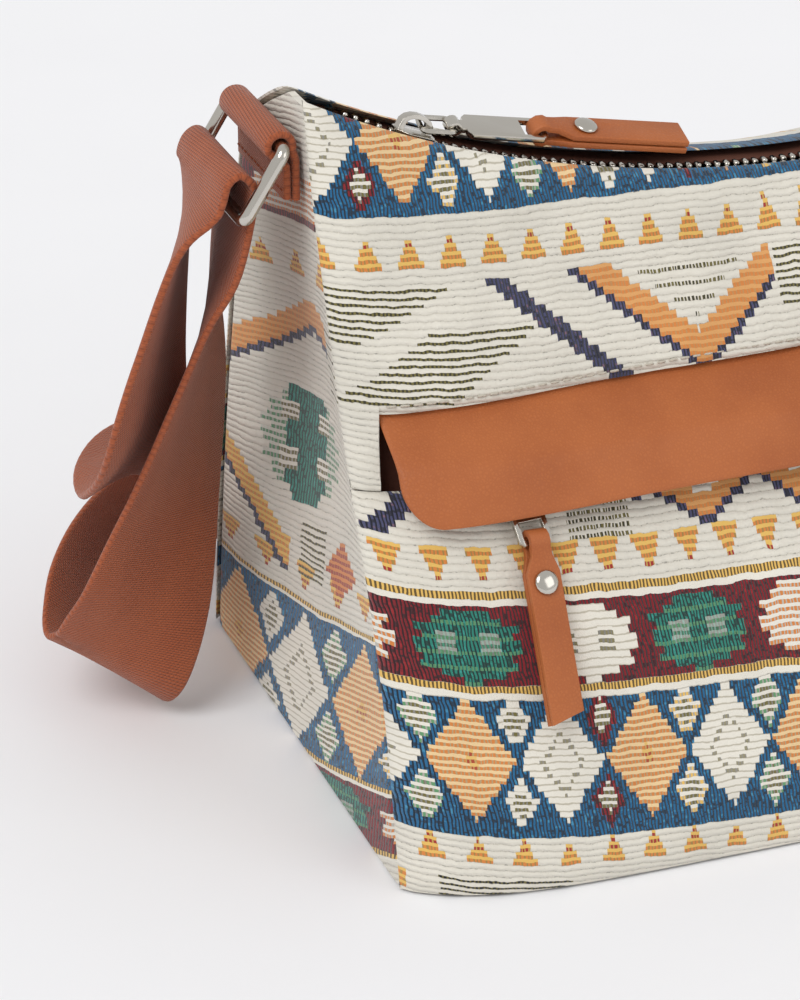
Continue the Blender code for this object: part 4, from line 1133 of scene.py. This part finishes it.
        shares = [1 - (1 - t) ** 1.3 for t in spread(0, 1, 44)]
        levels = [ring(s, 0.0, floor) for s in shares]
        inside = [ring(s, 0.0008, floor + 0.0008) for s in shares]
        obj = sections_piece("lining_cloth", levels + list(reversed(inside)), self.finishes.lining, "bag")
        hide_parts("lining")


# Repeated pieces


@dataclass
class Station:
    """Place of one repeated piece, with its run and its outward way."""

    at: Vector
    along: Vector
    out: Vector


def socket_id(group: bpy.types.NodeTree, name: str) -> str:
    """Identifier of a named input of a node group."""
    return next(s.identifier for s in group.interface.items_tree if s.name == name and s.in_out == "INPUT")


class Repeater:
    """Geometry node group that sets a shape at every station."""

    def __init__(self) -> None:
        """Builds the node group."""
        self.group = bpy.data.node_groups.new("repeat_along", "GeometryNodeTree")
        face = self.group.interface
        face.new_socket("Geometry", in_out="OUTPUT", socket_type="NodeSocketGeometry")
        face.new_socket("Stations", in_out="INPUT", socket_type="NodeSocketGeometry")
        for name, kind in (("Shape", "Object"), ("Spread", "Float"), ("Seed", "Int"), ("Finish", "Material")):
            face.new_socket(name, in_out="INPUT", socket_type="NodeSocket" + kind)
        nodes, links = self.group.nodes, self.group.links
        source, sink = nodes.new("NodeGroupInput"), nodes.new("NodeGroupOutput")
        points = nodes.new("GeometryNodeMeshToPoints")
        links.new(source.outputs["Stations"], points.inputs["Mesh"])
        turn = None
        for axis, name in (("X", "along"), ("Z", "out")):
            read = nodes.new("GeometryNodeInputNamedAttribute")
            read.data_type = "FLOAT_VECTOR"
            read.inputs["Name"].default_value = name
            align = nodes.new("FunctionNodeAlignRotationToVector")
            align.axis = axis
            if turn is not None:
                align.pivot_axis = "X"
                links.new(turn.outputs[0], align.inputs["Rotation"])
            links.new(read.outputs["Attribute"], align.inputs["Vector"])
            turn = align
        size = nodes.new("FunctionNodeRandomValue")
        size.data_type = "FLOAT"
        links.new(source.outputs["Seed"], size.inputs["Seed"])
        low, high = nodes.new("ShaderNodeMath"), nodes.new("ShaderNodeMath")
        low.operation, high.operation = "SUBTRACT", "ADD"
        for node, target in ((low, 2), (high, 3)):
            node.inputs[0].default_value = 1.0
            links.new(source.outputs["Spread"], node.inputs[1])
            links.new(node.outputs[0], size.inputs[target])
        info = nodes.new("GeometryNodeObjectInfo")
        links.new(source.outputs["Shape"], info.inputs["Object"])
        setter = nodes.new("GeometryNodeInstanceOnPoints")
        links.new(points.outputs[0], setter.inputs["Points"])
        links.new(info.outputs["Geometry"], setter.inputs["Instance"])
        links.new(turn.outputs[0], setter.inputs["Rotation"])
        links.new(size.outputs[1], setter.inputs["Scale"])
        real, finish = nodes.new("GeometryNodeRealizeInstances"), nodes.new("GeometryNodeSetMaterial")
        links.new(setter.outputs[0], real.inputs[0])
        links.new(real.outputs[0], finish.inputs["Geometry"])
        links.new(source.outputs["Finish"], finish.inputs["Material"])
        links.new(finish.outputs[0], sink.inputs[0])

    def run(self, name: str, stations: Sequence[Station], shape: bpy.types.Object, finish: bpy.types.Material,
            body: str, seed: int = 3, vary: float = 0.03) -> bpy.types.Object:
        """Makes a plain mesh with the shape at every station.

        Args:
            name: the piece's name.
            stations: places.
            shape: the repeated shape, along X with Z outward.
            finish: its material.
            body: the body it rides on.
            seed: seed of the random sizes.
            vary: spread of the sizes.

        Returns:
            The object.
        """
        mesh = bpy.data.meshes.new(name + "_stations")
        mesh.from_pydata([tuple(s.at) for s in stations], [], [])
        for label in ("along", "out"):
            layer = mesh.attributes.new(label, "FLOAT_VECTOR", "POINT")
            for k, station in enumerate(stations):
                layer.data[k].vector = getattr(station, label)
        holder = bpy.data.objects.new(name + "_holder", mesh)
        bpy.context.scene.collection.objects.link(holder)
        modifier = holder.modifiers.new("repeat", "NODES")
        modifier.node_group = self.group
        for label, value in (("Shape", shape), ("Spread", vary), ("Seed", seed), ("Finish", finish)):
            modifier[socket_id(self.group, label)] = value
        bpy.context.view_layer.update()
        graph = bpy.context.evaluated_depsgraph_get()
        made = bpy.data.meshes.new_from_object(holder.evaluated_get(graph), depsgraph=graph)
        holder.modifiers.clear()
        bpy.data.objects.remove(holder)
        made.shade_smooth()
        made.set_sharp_from_angle(angle=math.radians(45))
        obj = bpy.data.objects.new(name, made)
        bpy.context.scene.collection.objects.link(obj)
        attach(obj, body)
        return obj


class Shapes:
    """Shapes that the repeater sets out."""

    def __init__(self) -> None:
        """Builds the shapes."""
        self.tooth = self.block("tooth_shape", (0.00135, 0.0026, 0.0021), 0.00032)
        self.stitch = self.block("stitch_shape", (0.0023, 0.0006, 0.0006), 0.00024)
        self.short = self.block("short_stitch_shape", (0.0016, 0.00055, 0.0005), 0.00022)

    @staticmethod
    def block(name: str, size: tuple[float, float, float], rounding: float) -> bpy.types.Object:
        """Rounded block."""
        mesh = bpy.data.meshes.new(name)
        bm = bmesh.new()
        bmesh.ops.create_cube(bm, size=1.0)
        bmesh.ops.scale(bm, vec=size, verts=bm.verts)
        bmesh.ops.bevel(bm, geom=bm.edges[:], offset=rounding, segments=1, profile=0.5, affect="EDGES")
        bm.to_mesh(mesh)
        bm.free()
        return bpy.data.objects.new(name, mesh)


# Hardware


@dataclass
class Hardware:
    """Metal and leather parts, with the rounded edges that castings and cut leather have."""

    finishes: Finishes
    metal: tuple = (("top_slider", "top_slider", 0.00035), ("top_link", "top_link", 0.0),
                    ("top_pull_plate", "top_plate", 0.00028), ("pocket_slider", "pocket_slider", 0.00035),
                    ("pocket_pull_plate", "pocket_plate", 0.00028))
    leather: tuple = (("top_leather_pull", "top_leather"), ("pocket_leather_pull", "pocket_leather"))

    def build(self) -> None:
        """Builds the rounded pieces."""
        for node, body, width in self.metal:
            self.refine(node, body, self.finishes.nickel, width)
        for node, body in self.leather:
            self.refine(node, body, self.finishes.leather, 0.00030)
        for node in ("top_pull_rivet", "pocket_pull_rivet"):
            self.refine(node, node.replace("pull_rivet", "leather"), self.finishes.nickel, 0.00012)
        self.refine("strap_adjuster", "bag", self.finishes.nickel, 0.0)

    def refine(self, node: str, body: str, finish: bpy.types.Material, width: float) -> bpy.types.Object:
        """Makes a rounded copy of a solid.

        Args:
            node: the solid's name.
            body: the body it rides on.
            finish: its material.
            width: width of the rounding.

        Returns:
            The object.
        """
        source = bpy.data.objects[node]
        mesh = source.data.copy()
        mesh.transform(source.matrix_world)
        mesh.materials.clear()
        mesh.materials.append(finish)
        bm = bmesh.new()
        bm.from_mesh(mesh)
        bmesh.ops.remove_doubles(bm, verts=bm.verts, dist=2e-6)
        bmesh.ops.dissolve_limit(bm, angle_limit=math.radians(1.0), verts=bm.verts, edges=bm.edges)
        for face in bm.faces:
            face.material_index = 0
        bm.to_mesh(mesh)
        bm.free()
        obj = bpy.data.objects.new(node + "_shown", mesh)
        bpy.context.scene.collection.objects.link(obj)
        if width > 0:
            bevel = obj.modifiers.new("round", "BEVEL")
            bevel.width = width
            bevel.segments = 3
            bevel.limit_method = "ANGLE"
            bevel.angle_limit = math.radians(38)
            bpy.context.view_layer.update()
            graph = bpy.context.evaluated_depsgraph_get()
            obj.data = bpy.data.meshes.new_from_object(obj.evaluated_get(graph), depsgraph=graph)
            obj.modifiers.clear()
        obj.data.shade_smooth()
        obj.data.set_sharp_from_angle(angle=math.radians(50))
        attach(obj, body)
        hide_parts(node)
        return obj


def wire_loop(name: str, centre: Vector, across: Vector, along: Vector, half_a: float, half_b: float,
              radius: float, corner: float, finish: bpy.types.Material, body: str) -> bpy.types.Object:
    """Closed wire rectangle with round corners."""
    across, along = across.normalized(), along.normalized()
    normal = across.cross(along)
    sections = []
    for sa, sb, start in ((1, 1, 0), (-1, 1, 90), (-1, -1, 180), (1, -1, 270)):
        for k in range(11):
            angle = math.radians(start + 9 * k)
            middle = centre + across * (sa * (half_a - corner) + corner * math.cos(angle))
            middle = middle + along * (sb * (half_b - corner) + corner * math.sin(angle))
            out = across * math.cos(angle) + along * math.sin(angle)
            sections.append([middle + (out * math.cos(t) + normal * math.sin(t)) * radius
                             for t in spread(0, 2 * math.pi, 24)[:-1]])
    return sections_piece(name, sections, finish, body, closed=True)


def frame_at(origin: Vector, along: Vector, out: Vector) -> Callable[[float, float, float], Vector]:
    """Function that places (a, b, c) along, across and out from an origin."""
    along, out = along.normalized(), out.normalized()
    across = out.cross(along)
    return lambda a, b, c: origin + along * a + across * b + out * c


# Strap


@dataclass
class Strap:
    """Webbing strap, its tabs and rings."""

    finishes: Finishes
    repeater: Repeater
    shapes: Shapes
    width: float = 0.037
    thick: float = 0.002
    wire: float = 0.0034
    ring_top: Vector = field(default_factory=lambda: Vector((-0.1352, 0.0117, 0.1667)))
    ring_lean: float = math.radians(32)
    ring_drop: float = 0.0194
    bar: float = 0.0030
    length: float = 0.0260
    centre: Vector = field(default_factory=lambda: Vector((-0.0400, 0.1350, 0.0238)))
    inner: tuple = (
        (-0.1431, 0.0132, 0.1374, 8, -8), (-0.1463, 0.0166, 0.1219, 19, -3), (-0.1496, 0.0192, 0.0974, 38, 0),
        (-0.1561, 0.0225, 0.0660, 57, 8), (-0.1632, 0.0225, 0.0400, 80, 20), (-0.1680, 0.0248, 0.0255, 98, 29))
    fold: tuple = (
        (-0.1708, 0.0280, 0.0175, 106, 33), (-0.1722, 0.0345, 0.0145, 108, 34), (-0.1718, 0.0430, 0.0158, 106, 40),
        (-0.1690, 0.0560, 0.0190, 100, 54), (-0.1610, 0.0730, 0.0215, 92, 66), (-0.1475, 0.0920, 0.0220, 82, 76),
        (-0.1280, 0.1095, 0.0218, 64, 84), (-0.1010, 0.1232, 0.0215, 40, 88), (-0.0740, 0.1300, 0.0215, 20, 88))
    outer: tuple = (
        (-0.1506, 0.0120, 0.1500, 6, 0), (-0.1545, 0.0128, 0.1400, 21, 2), (-0.1600, 0.0140, 0.1150, 34, 2),
        (-0.1636, 0.0175, 0.0900, 48, -4), (-0.1618, 0.0300, 0.0740, 52, 12), (-0.1560, 0.0460, 0.0620, 56, 32),
        (-0.1480, 0.0640, 0.0510, 60, 50), (-0.1360, 0.0840, 0.0400, 64, 66), (-0.1180, 0.1020, 0.0300, 58, 78),
        (-0.0950, 0.1138, 0.0240, 40, 85), (-0.0720, 0.1212, 0.0220, 20, 88))
    behind: tuple = (
        (-0.0060, 0.1375, 0.0220, 4, 88), (0.0400, 0.1385, 0.0212, -4, 88), (0.0850, 0.1280, 0.0270, -16, 80),
        (0.1200, 0.1085, 0.0440, -26, 62), (0.1420, 0.0820, 0.0720, -28, 38), (0.1510, 0.0480, 0.1010, -18, 14))

    @staticmethod
    def way(turn: float, dip: float) -> Vector:
        """Direction of the webbing's width."""
        b, g = math.radians(turn), math.radians(dip)
        return Vector((math.sin(b) * math.cos(g), math.cos(b) * math.cos(g), -math.sin(g)))

    def rung(self, side: int) -> Vector:
        """Middle of the lower bar of a ring."""
        top = Vector((side * -self.ring_top.x, self.ring_top.y, self.ring_top.z))
        return top + Vector((side * math.sin(self.ring_lean), 0, -math.cos(self.ring_lean))) * self.ring_drop

    def stations(self) -> tuple[list, list]:
        """Centre points and width ways of the left and the right part."""
        across = self.way(10, 88)
        run = Vector((0.98, 0.17, 0.0))
        run = (run - across * run.dot(across)).normalized()
        out = run.cross(across).normalized()
        core = self.bar / 2 + 0.0004 + self.thick / 2
        over = core + self.thick + 0.0004
        reach = (self.length - self.bar) / 2

        def by_adjuster(pairs: Sequence) -> list:
            """Points given along the adjuster."""
            return [(self.centre + run * r + out * o, across) for r, o in pairs]

        def placed(rows: Sequence) -> list:
            """Points of a table."""
            return [(Vector(row[:3]), self.way(row[3], row[4])) for row in rows]

        wrap = [(core * math.cos(t), core * math.sin(t)) for t in spread(math.radians(25), math.radians(270), 8)]
        leaving = [(reach * 0.33, -core - 0.0007), (reach * 0.66, -core - 0.0017),
                   (reach, -core - 0.0026), (reach + 0.0035, -core - 0.0034)]
        first = by_adjuster([(-r, o) for r, o in wrap + leaving])
        flat = Vector((0, 1, 0))
        rung = self.rung(-1)
        arch = [(rung + Vector((dx, 0, dz)), flat) for dx, dz in (
            (-0.0042, 0.0040), (-0.0028, 0.0084), (0.0002, 0.0104), (0.0030, 0.0080), (0.0036, 0.0035))]
        thread = [(-over * math.cos(t), over * math.sin(t)) for t in spread(math.radians(30), math.radians(150), 4)]
        low = -core - 0.0002
        through = [(-reach - 0.0070, low - 0.0004), (-reach, low), (-reach * 0.66, low + 0.0012), (-over * 0.98, 0.0009)]
        through += thread + [(-r, o) for r, o in reversed(through)]
        foot = self.rung(1)
        bend = self.wire / 2 + 0.0004 + self.thick / 2
        last = [(foot + Vector((0.0010, 0, -0.0280)), flat), (foot + Vector((0.0010, 0, -0.0130)), flat),
                (foot + Vector((bend * 0.9, 0, -0.0045)), flat)]
        last += [(foot + Vector((bend * math.cos(t), 0, bend * math.sin(t))), flat) for t in spread(0, math.pi, 6)]
        last += [(foot + Vector((-bend * 0.75, 0, -0.0045)), flat), (foot + Vector((-0.0014, 0, -0.0110)), flat),
                 (foot + Vector((-0.0014, 0, -0.0260)), flat)]
        whole = first + placed(reversed(self.outer)) + arch + placed(self.inner) + placed(self.fold)
        whole += by_adjuster(through) + placed(self.behind) + last
        points = curve_points([p for p, _ in whole], 6)
        ways = [w.normalized() for w in curve_points([w for _, w in whole], 6)]
        cut = next(k for k, p in enumerate(points) if p.y > 0.1370 and p.x > -0.008)
        return (points[:cut + 1], ways[:cut + 1]), (points[cut:], ways[cut:])

    def ribbon(self, name: str, points: Sequence[Vector], ways: Sequence[Vector], body: Optional[str],
               start: float = 0.0) -> bpy.types.Object:
        """Webbing with soft edges along a path.

        Args:
            name: the piece's name.
            points: middle line.
            ways: width's direction at each point.
            body: the body it rides on, or None for a piece that rides on no body.
            start: place of the path's start on the map, in metres.

        Returns:
            The object.
        """
        half, thin = self.width / 2, self.thick / 2
        outline = [(-half, 0.0), (-half + 0.0003, thin * 0.7), (-half + 0.0010, thin), (-half * 0.5, thin * 0.98),
                   (0.0, thin * 0.97), (half * 0.5, thin * 0.98), (half - 0.0010, thin), (half - 0.0003, thin * 0.7),
                   (half, 0.0), (half - 0.0003, -thin * 0.7), (half - 0.0010, -thin), (half * 0.5, -thin * 0.98),
                   (0.0, -thin * 0.97), (-half * 0.5, -thin * 0.98), (-half + 0.0010, -thin), (-half + 0.0003, -thin * 0.7)]
        sections, uvs, run = [], [], start
        for k, (p, w) in enumerate(zip(points, ways)):
            t = (points[min(k + 1, len(points) - 1)] - points[max(k - 1, 0)]).normalized()
            w = (w - t * w.dot(t)).normalized()
            n = t.cross(w).normalized()
            sections.append([p + w * a + n * b for a, b in outline])
            uvs += [(a / MM, run / MM) for a, _ in outline]
            if k + 1 < len(points):
                run += (points[k + 1] - p).length
        obj = sections_piece(name, sections, self.finishes.webbing, body or "bag", uvs=uvs)
        if body is None:
            obj.parent = None
            del obj["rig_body"]
        return obj

    def build(self) -> None:
        """Builds the strap, tabs and rings."""
        left, right = self.stations()
        for name, (points, ways), side in (("strap_left", left, -1), ("strap_right", right, 1)):
            obj = self.ribbon(name, points, ways, None)
            rung = self.rung(side)
            far = rung + Vector((side * 0.004, 0, -0.075))
            "left_ring" if side < 0 else "right_ring"
            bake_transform(obj)
        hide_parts("shoulder_strap")
        self.build_rings()
        self.build_tabs()

    def build_rings(self) -> None:
        """Builds both wire rings."""
        for label, side in (("left", -1), ("right", 1)):
            top = Vector((side * -self.ring_top.x, self.ring_top.y, self.ring_top.z))
            low = self.rung(side)
            ring = wire_loop(label + "_wire_ring", (top + low) / 2, Vector((0, 1, 0)), low - top,
                             (0.0385 + self.wire) / 2, (0.0160 + self.wire) / 2, self.wire / 2, 0.0022,
                             self.finishes.nickel, label + "_ring")
            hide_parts(label + "_ring")

    def build_tabs(self) -> None:
        """Builds the webbing tabs with their stitches."""
        for label, side in (("left", -1), ("right", 1)):
            top = Vector((side * -self.ring_top.x, self.ring_top.y, self.ring_top.z))
            bend = self.wire / 2 + 0.0004 + self.thick / 2
            wall = side * (FORM.half_width + 0.0004 + self.thick / 2)
            other = wall + side * (self.thick + 0.0003)
            line = [(wall, z) for z in spread(0.1530, top.z - bend * 1.2, 4)]
            line += [(top.x - side * bend * math.cos(math.radians(a)), top.z + bend * math.sin(math.radians(a)))
                     for a in spread(-20, 200, 22)]
            line += [(other, z) for z in spread(top.z - bend * 1.7, 0.1535, 5)]
            path = [Vector((x, top.y, z)) for x, z in line]
            tab = self.ribbon(label + "_tab_webbing", path, [Vector((0, 1, 0))] * len(path), "bag")
            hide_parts(label + "_tab")
            face = other + side * (self.thick / 2 + 0.0001)
            across = [Station(Vector((face, top.y + y, 0.1556)), Vector((0, 1, 0)), Vector((side, 0, 0)))
                      for y in spread(-0.0165, 0.0165, 13)]
            seam = self.repeater.run(label + "_tab_stitches", across, self.shapes.short, self.finishes.rust_thread, "bag")


# Zips and flap


@dataclass
class Zips:
    """Rows of teeth of both zips."""

    finishes: Finishes
    repeater: Repeater
    shapes: Shapes
    pitch: float = 0.0026
    row_gap: float = 0.0012
    reach: float = 0.0026
    height: float = 0.0022
    sink: float = 0.0016

    def middle(self) -> float:
        """Y of the closed top zip."""
        z = FORM.ridge(0)
        return (FORM.front_in(0, z, FORM.cloth) + FORM.back_in(0, z, FORM.cloth)) / 2

    def tip(self, x: float, side: int) -> float:
        """Y of the tips of a top row."""
        closed = self.middle() + side * self.row_gap / 2
        z = FORM.ridge(x) - self.sink - self.height / 2
        edge = FORM.front_in(x, z, FORM.cloth) if side < 0 else FORM.back_in(x, z, FORM.cloth)
        parted = edge - side * (self.reach + 0.0036)
        return closed + (parted - closed) * ease((-0.099 - x) / 0.016)

    def pocket_frame(self, x: float) -> tuple[Vector, Vector, Vector]:
        """Middle, run and outward way of the pocket's zip."""
        z = 0.095
        deep = FORM.cloth + 0.0012 + 0.0017 + 0.00025
        middle = FORM.front_in(0, z, deep)
        bow = middle - FORM.front_in(0.090, z, deep)
        radius = (0.090**2 + bow**2) / (2 * bow)
        angle = math.asin(x / radius)
        slope = (FORM.front(0.05, z + 0.001) - FORM.front(0.05, z - 0.001)) / 0.002
        facing = Vector((0, -1, slope)).normalized()
        inward = Vector((math.sin(angle), math.cos(angle), 0))
        out = Vector((inward.x * facing.y, inward.y * facing.y, facing.z))
        return Vector((0, middle - radius, z)) + inward * radius, Vector((math.cos(angle), -math.sin(angle), 0)), out

    def build(self) -> None:
        """Builds the four rows."""
        end = FORM.half_width - 0.009
        low, high = -end + 0.003, end - 0.004
        for label, side in (("front", -1), ("back", 1)):
            stations = []
            for k in range(int((high - low) / self.pitch)):
                x = low + (k + 0.31 + (0.5 if side > 0 else 0.0)) * self.pitch
                z = FORM.ridge(x) - self.sink - self.height / 2
                turn = math.asin(x / FORM.radius)
                run = Vector((math.cos(turn), 0, math.sin(turn)))
                rise = Vector((-math.sin(turn), 0, math.cos(turn)))
                stations.append(Station(Vector((x, self.tip(x, side) + side * self.reach / 2, z)), run, rise))
            row = self.repeater.run("top_teeth_" + label + "_shown", stations, self.shapes.tooth,
                                    self.finishes.nickel, "bag", vary=0.01)
            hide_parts("top_zip_teeth_" + label)
        for label, side in (("lower", -1), ("upper", 1)):
            stations = []
            low, high = -0.098, 0.098
            for k in range(int((high - low) / self.pitch)):
                x = low + (k + 0.31 + (0.5 if side > 0 else 0.0)) * self.pitch
                middle, run, out = self.pocket_frame(x)
                rising = out.cross(run)
                stations.append(Station(middle + rising * side * (self.row_gap / 2 + self.reach / 2), run, out))
            row = self.repeater.run("pocket_teeth_" + label + "_shown", stations, self.shapes.tooth,
                                    self.finishes.nickel, "bag", vary=0.01)
            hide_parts("pocket_zip_teeth_" + label)


@dataclass
class Flap:
    """Leather flap and the row of stitches that holds the hem on it."""

    finishes: Finishes
    repeater: Repeater
    shapes: Shapes
    half: float = 0.1215
    edge: float = 0.0868
    corner: float = 0.009
    thick: float = 0.0017
    stand: float = 0.0060

    def low(self, x: float) -> float:
        """Height of the flap's lower edge."""
        over = min(max(0.0, abs(x) - (self.half - self.corner)), self.corner)
        return self.edge + self.corner - math.sqrt(self.corner**2 - over**2)

    def build(self) -> None:
        """Builds the flap and its stitches."""
        root = FORM.hem + 0.0045
        depth = FORM.cloth + 0.0006
        curve = [self.half - self.corner * (1 - math.sin(t)) for t in spread(0, math.pi / 2, 14)]
        inside = [x for x in spread(-curve[0], curve[0], 110)][1:-1]
        xs = [-x for x in reversed(curve)] + inside + curve

        def out(x: float, v: float, inward: float) -> tuple:
            """Point of the flap."""
            z = root + (self.low(x) - root) * v
            lift = ease((FORM.hem + 0.0005 - z) / 0.0110)
            wave = 0.0002 * noise.noise(Vector((x * 60, z * 40, 2.0)))
            near = max(0.0, 1 - min((z - self.low(x)) / 0.0010, (self.half - abs(x)) / 0.0010))
            trim = 0.0005 * near**2 * (1 if inward == 0 else -1)
            return (x, FORM.front_in(x, z, depth - lift * (self.stand + self.thick + depth) + inward + trim + wave), z)

        rows = [1 - (1 - t) ** 1.35 for t in spread(0, 1, 26)]
        flap = shell("flap_leather", lambda x, v: out(x, v, 0.0), lambda x, v: out(x, v, self.thick), xs, rows,
                     lambda x, v: (x / MM, v * 22), self.finishes.leather, "bag")
        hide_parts("leather_flap")
        stations = []
        for x in spread(-0.119, 0.119, 74):
            z = FORM.hem + 0.0021
            y = FORM.front_in(x, z, 0.0) - 0.0008
            dx = 0.0005
            run = Vector((2 * dx, FORM.front(x + dx, z) - FORM.front(x - dx, z), 0)).normalized()
            slope = (FORM.front(x, z + 0.001) - FORM.front(x, z - 0.001)) / 0.002
            stations.append(Station(Vector((x, y, z)), run, Vector((0, -1, slope)).normalized()))
        seam = self.repeater.run("hem_stitches", stations, self.shapes.stitch, self.finishes.thread, "bag", vary=0.08)


# Picture


@dataclass
class Studio:
    """Floor, light and camera."""

    floor: tuple = linear(243, 243, 245)
    sky: float = 0.66
    sun: float = 1.35

    def build(self) -> None:
        """Builds the stage."""
        mesh = bpy.data.meshes.new("floor")
        mesh.from_pydata([(-6, -6, 0), (6, -6, 0), (6, 6, 0), (-6, 6, 0)], [], [(0, 1, 2, 3)])
        mesh.materials.append(Paint("pale_floor", self.floor, 0.95).material())
        ground = bpy.data.objects.new("floor", mesh)
        ground.location.z = -0.0002
        bpy.context.scene.collection.objects.link(ground)
        world = bpy.data.worlds.new("studio")
        bpy.context.scene.world = world
        world.use_nodes = True
        back = world.node_tree.nodes["Background"]
        back.inputs[0].default_value = (1, 1, 1, 1)
        back.inputs[1].default_value = self.sky
        self.lamp("key", "SUN", (0, 0, 3), (math.radians(38), math.radians(-14), math.radians(-38)), self.sun, 0.6)
        self.lamp("fill", "AREA", (1.2, -1.6, 1.0), (math.radians(62), 0, math.radians(36)), 5.0, 1.2)
        camera = bpy.data.cameras.new("camera")
        camera.lens = 126
        camera.sensor_width = 36
        eye = bpy.data.objects.new("camera", camera)
        eye.location = (-0.37517, -0.74715, 0.45226)
        eye.rotation_euler = (math.radians(64.101), 0, math.radians(-20.016))
        bpy.context.scene.collection.objects.link(eye)
        bpy.context.scene.camera = eye
        bpy.context.scene.view_settings.view_transform = "Standard"

    @staticmethod
    def lamp(name: str, kind: str, place: tuple, turn: tuple, power: float, size: float) -> None:
        """Adds a lamp.

        Args:
            name: its name.
            kind: SUN or AREA.
            place: location.
            turn: rotation.
            power: strength.
            size: angle of a sun, or side of an area lamp.
        """
        data = bpy.data.lights.new(name, kind)
        data.energy = power
        if kind == "SUN":
            data.angle = size
        else:
            data.size = size
        lamp = bpy.data.objects.new(name, data)
        lamp.location = place
        lamp.rotation_euler = turn
        bpy.context.scene.collection.objects.link(lamp)


def dress_solids(finishes: Finishes) -> None:
    """Gives every carried-over solid its finish."""
    chosen = {"pocket_wall": finishes.lining, "base_board": finishes.board}
    for obj in bpy.data.objects:
        if obj.type != "MESH" or not obj.data.materials:
            continue
        finish = chosen.get(obj.name)
        if "zip_tape" in obj.name:
            finish = finishes.tape
        elif "_stop_" in obj.name:
            finish = finishes.nickel
        if finish is not None:
            for k in range(len(obj.data.materials)):
                obj.data.materials[k] = finish


def main() -> None:
    """Builds the bag's looks and the scene."""
    logging.basicConfig(level=logging.INFO, format="%(message)s")
    finishes = Finishes()
    repeater, shapes = Repeater(), Shapes()
    dress_solids(finishes)
    for maker in (ClothBody(finishes), Flap(finishes, repeater, shapes), Zips(finishes, repeater, shapes),
                  Hardware(finishes), Strap(finishes, repeater, shapes)):
        before = set(bpy.data.objects)
        maker.build()
        for obj in sorted(set(bpy.data.objects) - before, key=lambda o: o.name):
            LOG.info("%s: %s, %d faces", type(maker).__name__, obj.name, len(obj.data.polygons))
    for shape in (shapes.tooth, shapes.stitch, shapes.short):
        bpy.data.objects.remove(shape)
    Studio().build()


if __name__ == "__main__":
    main()
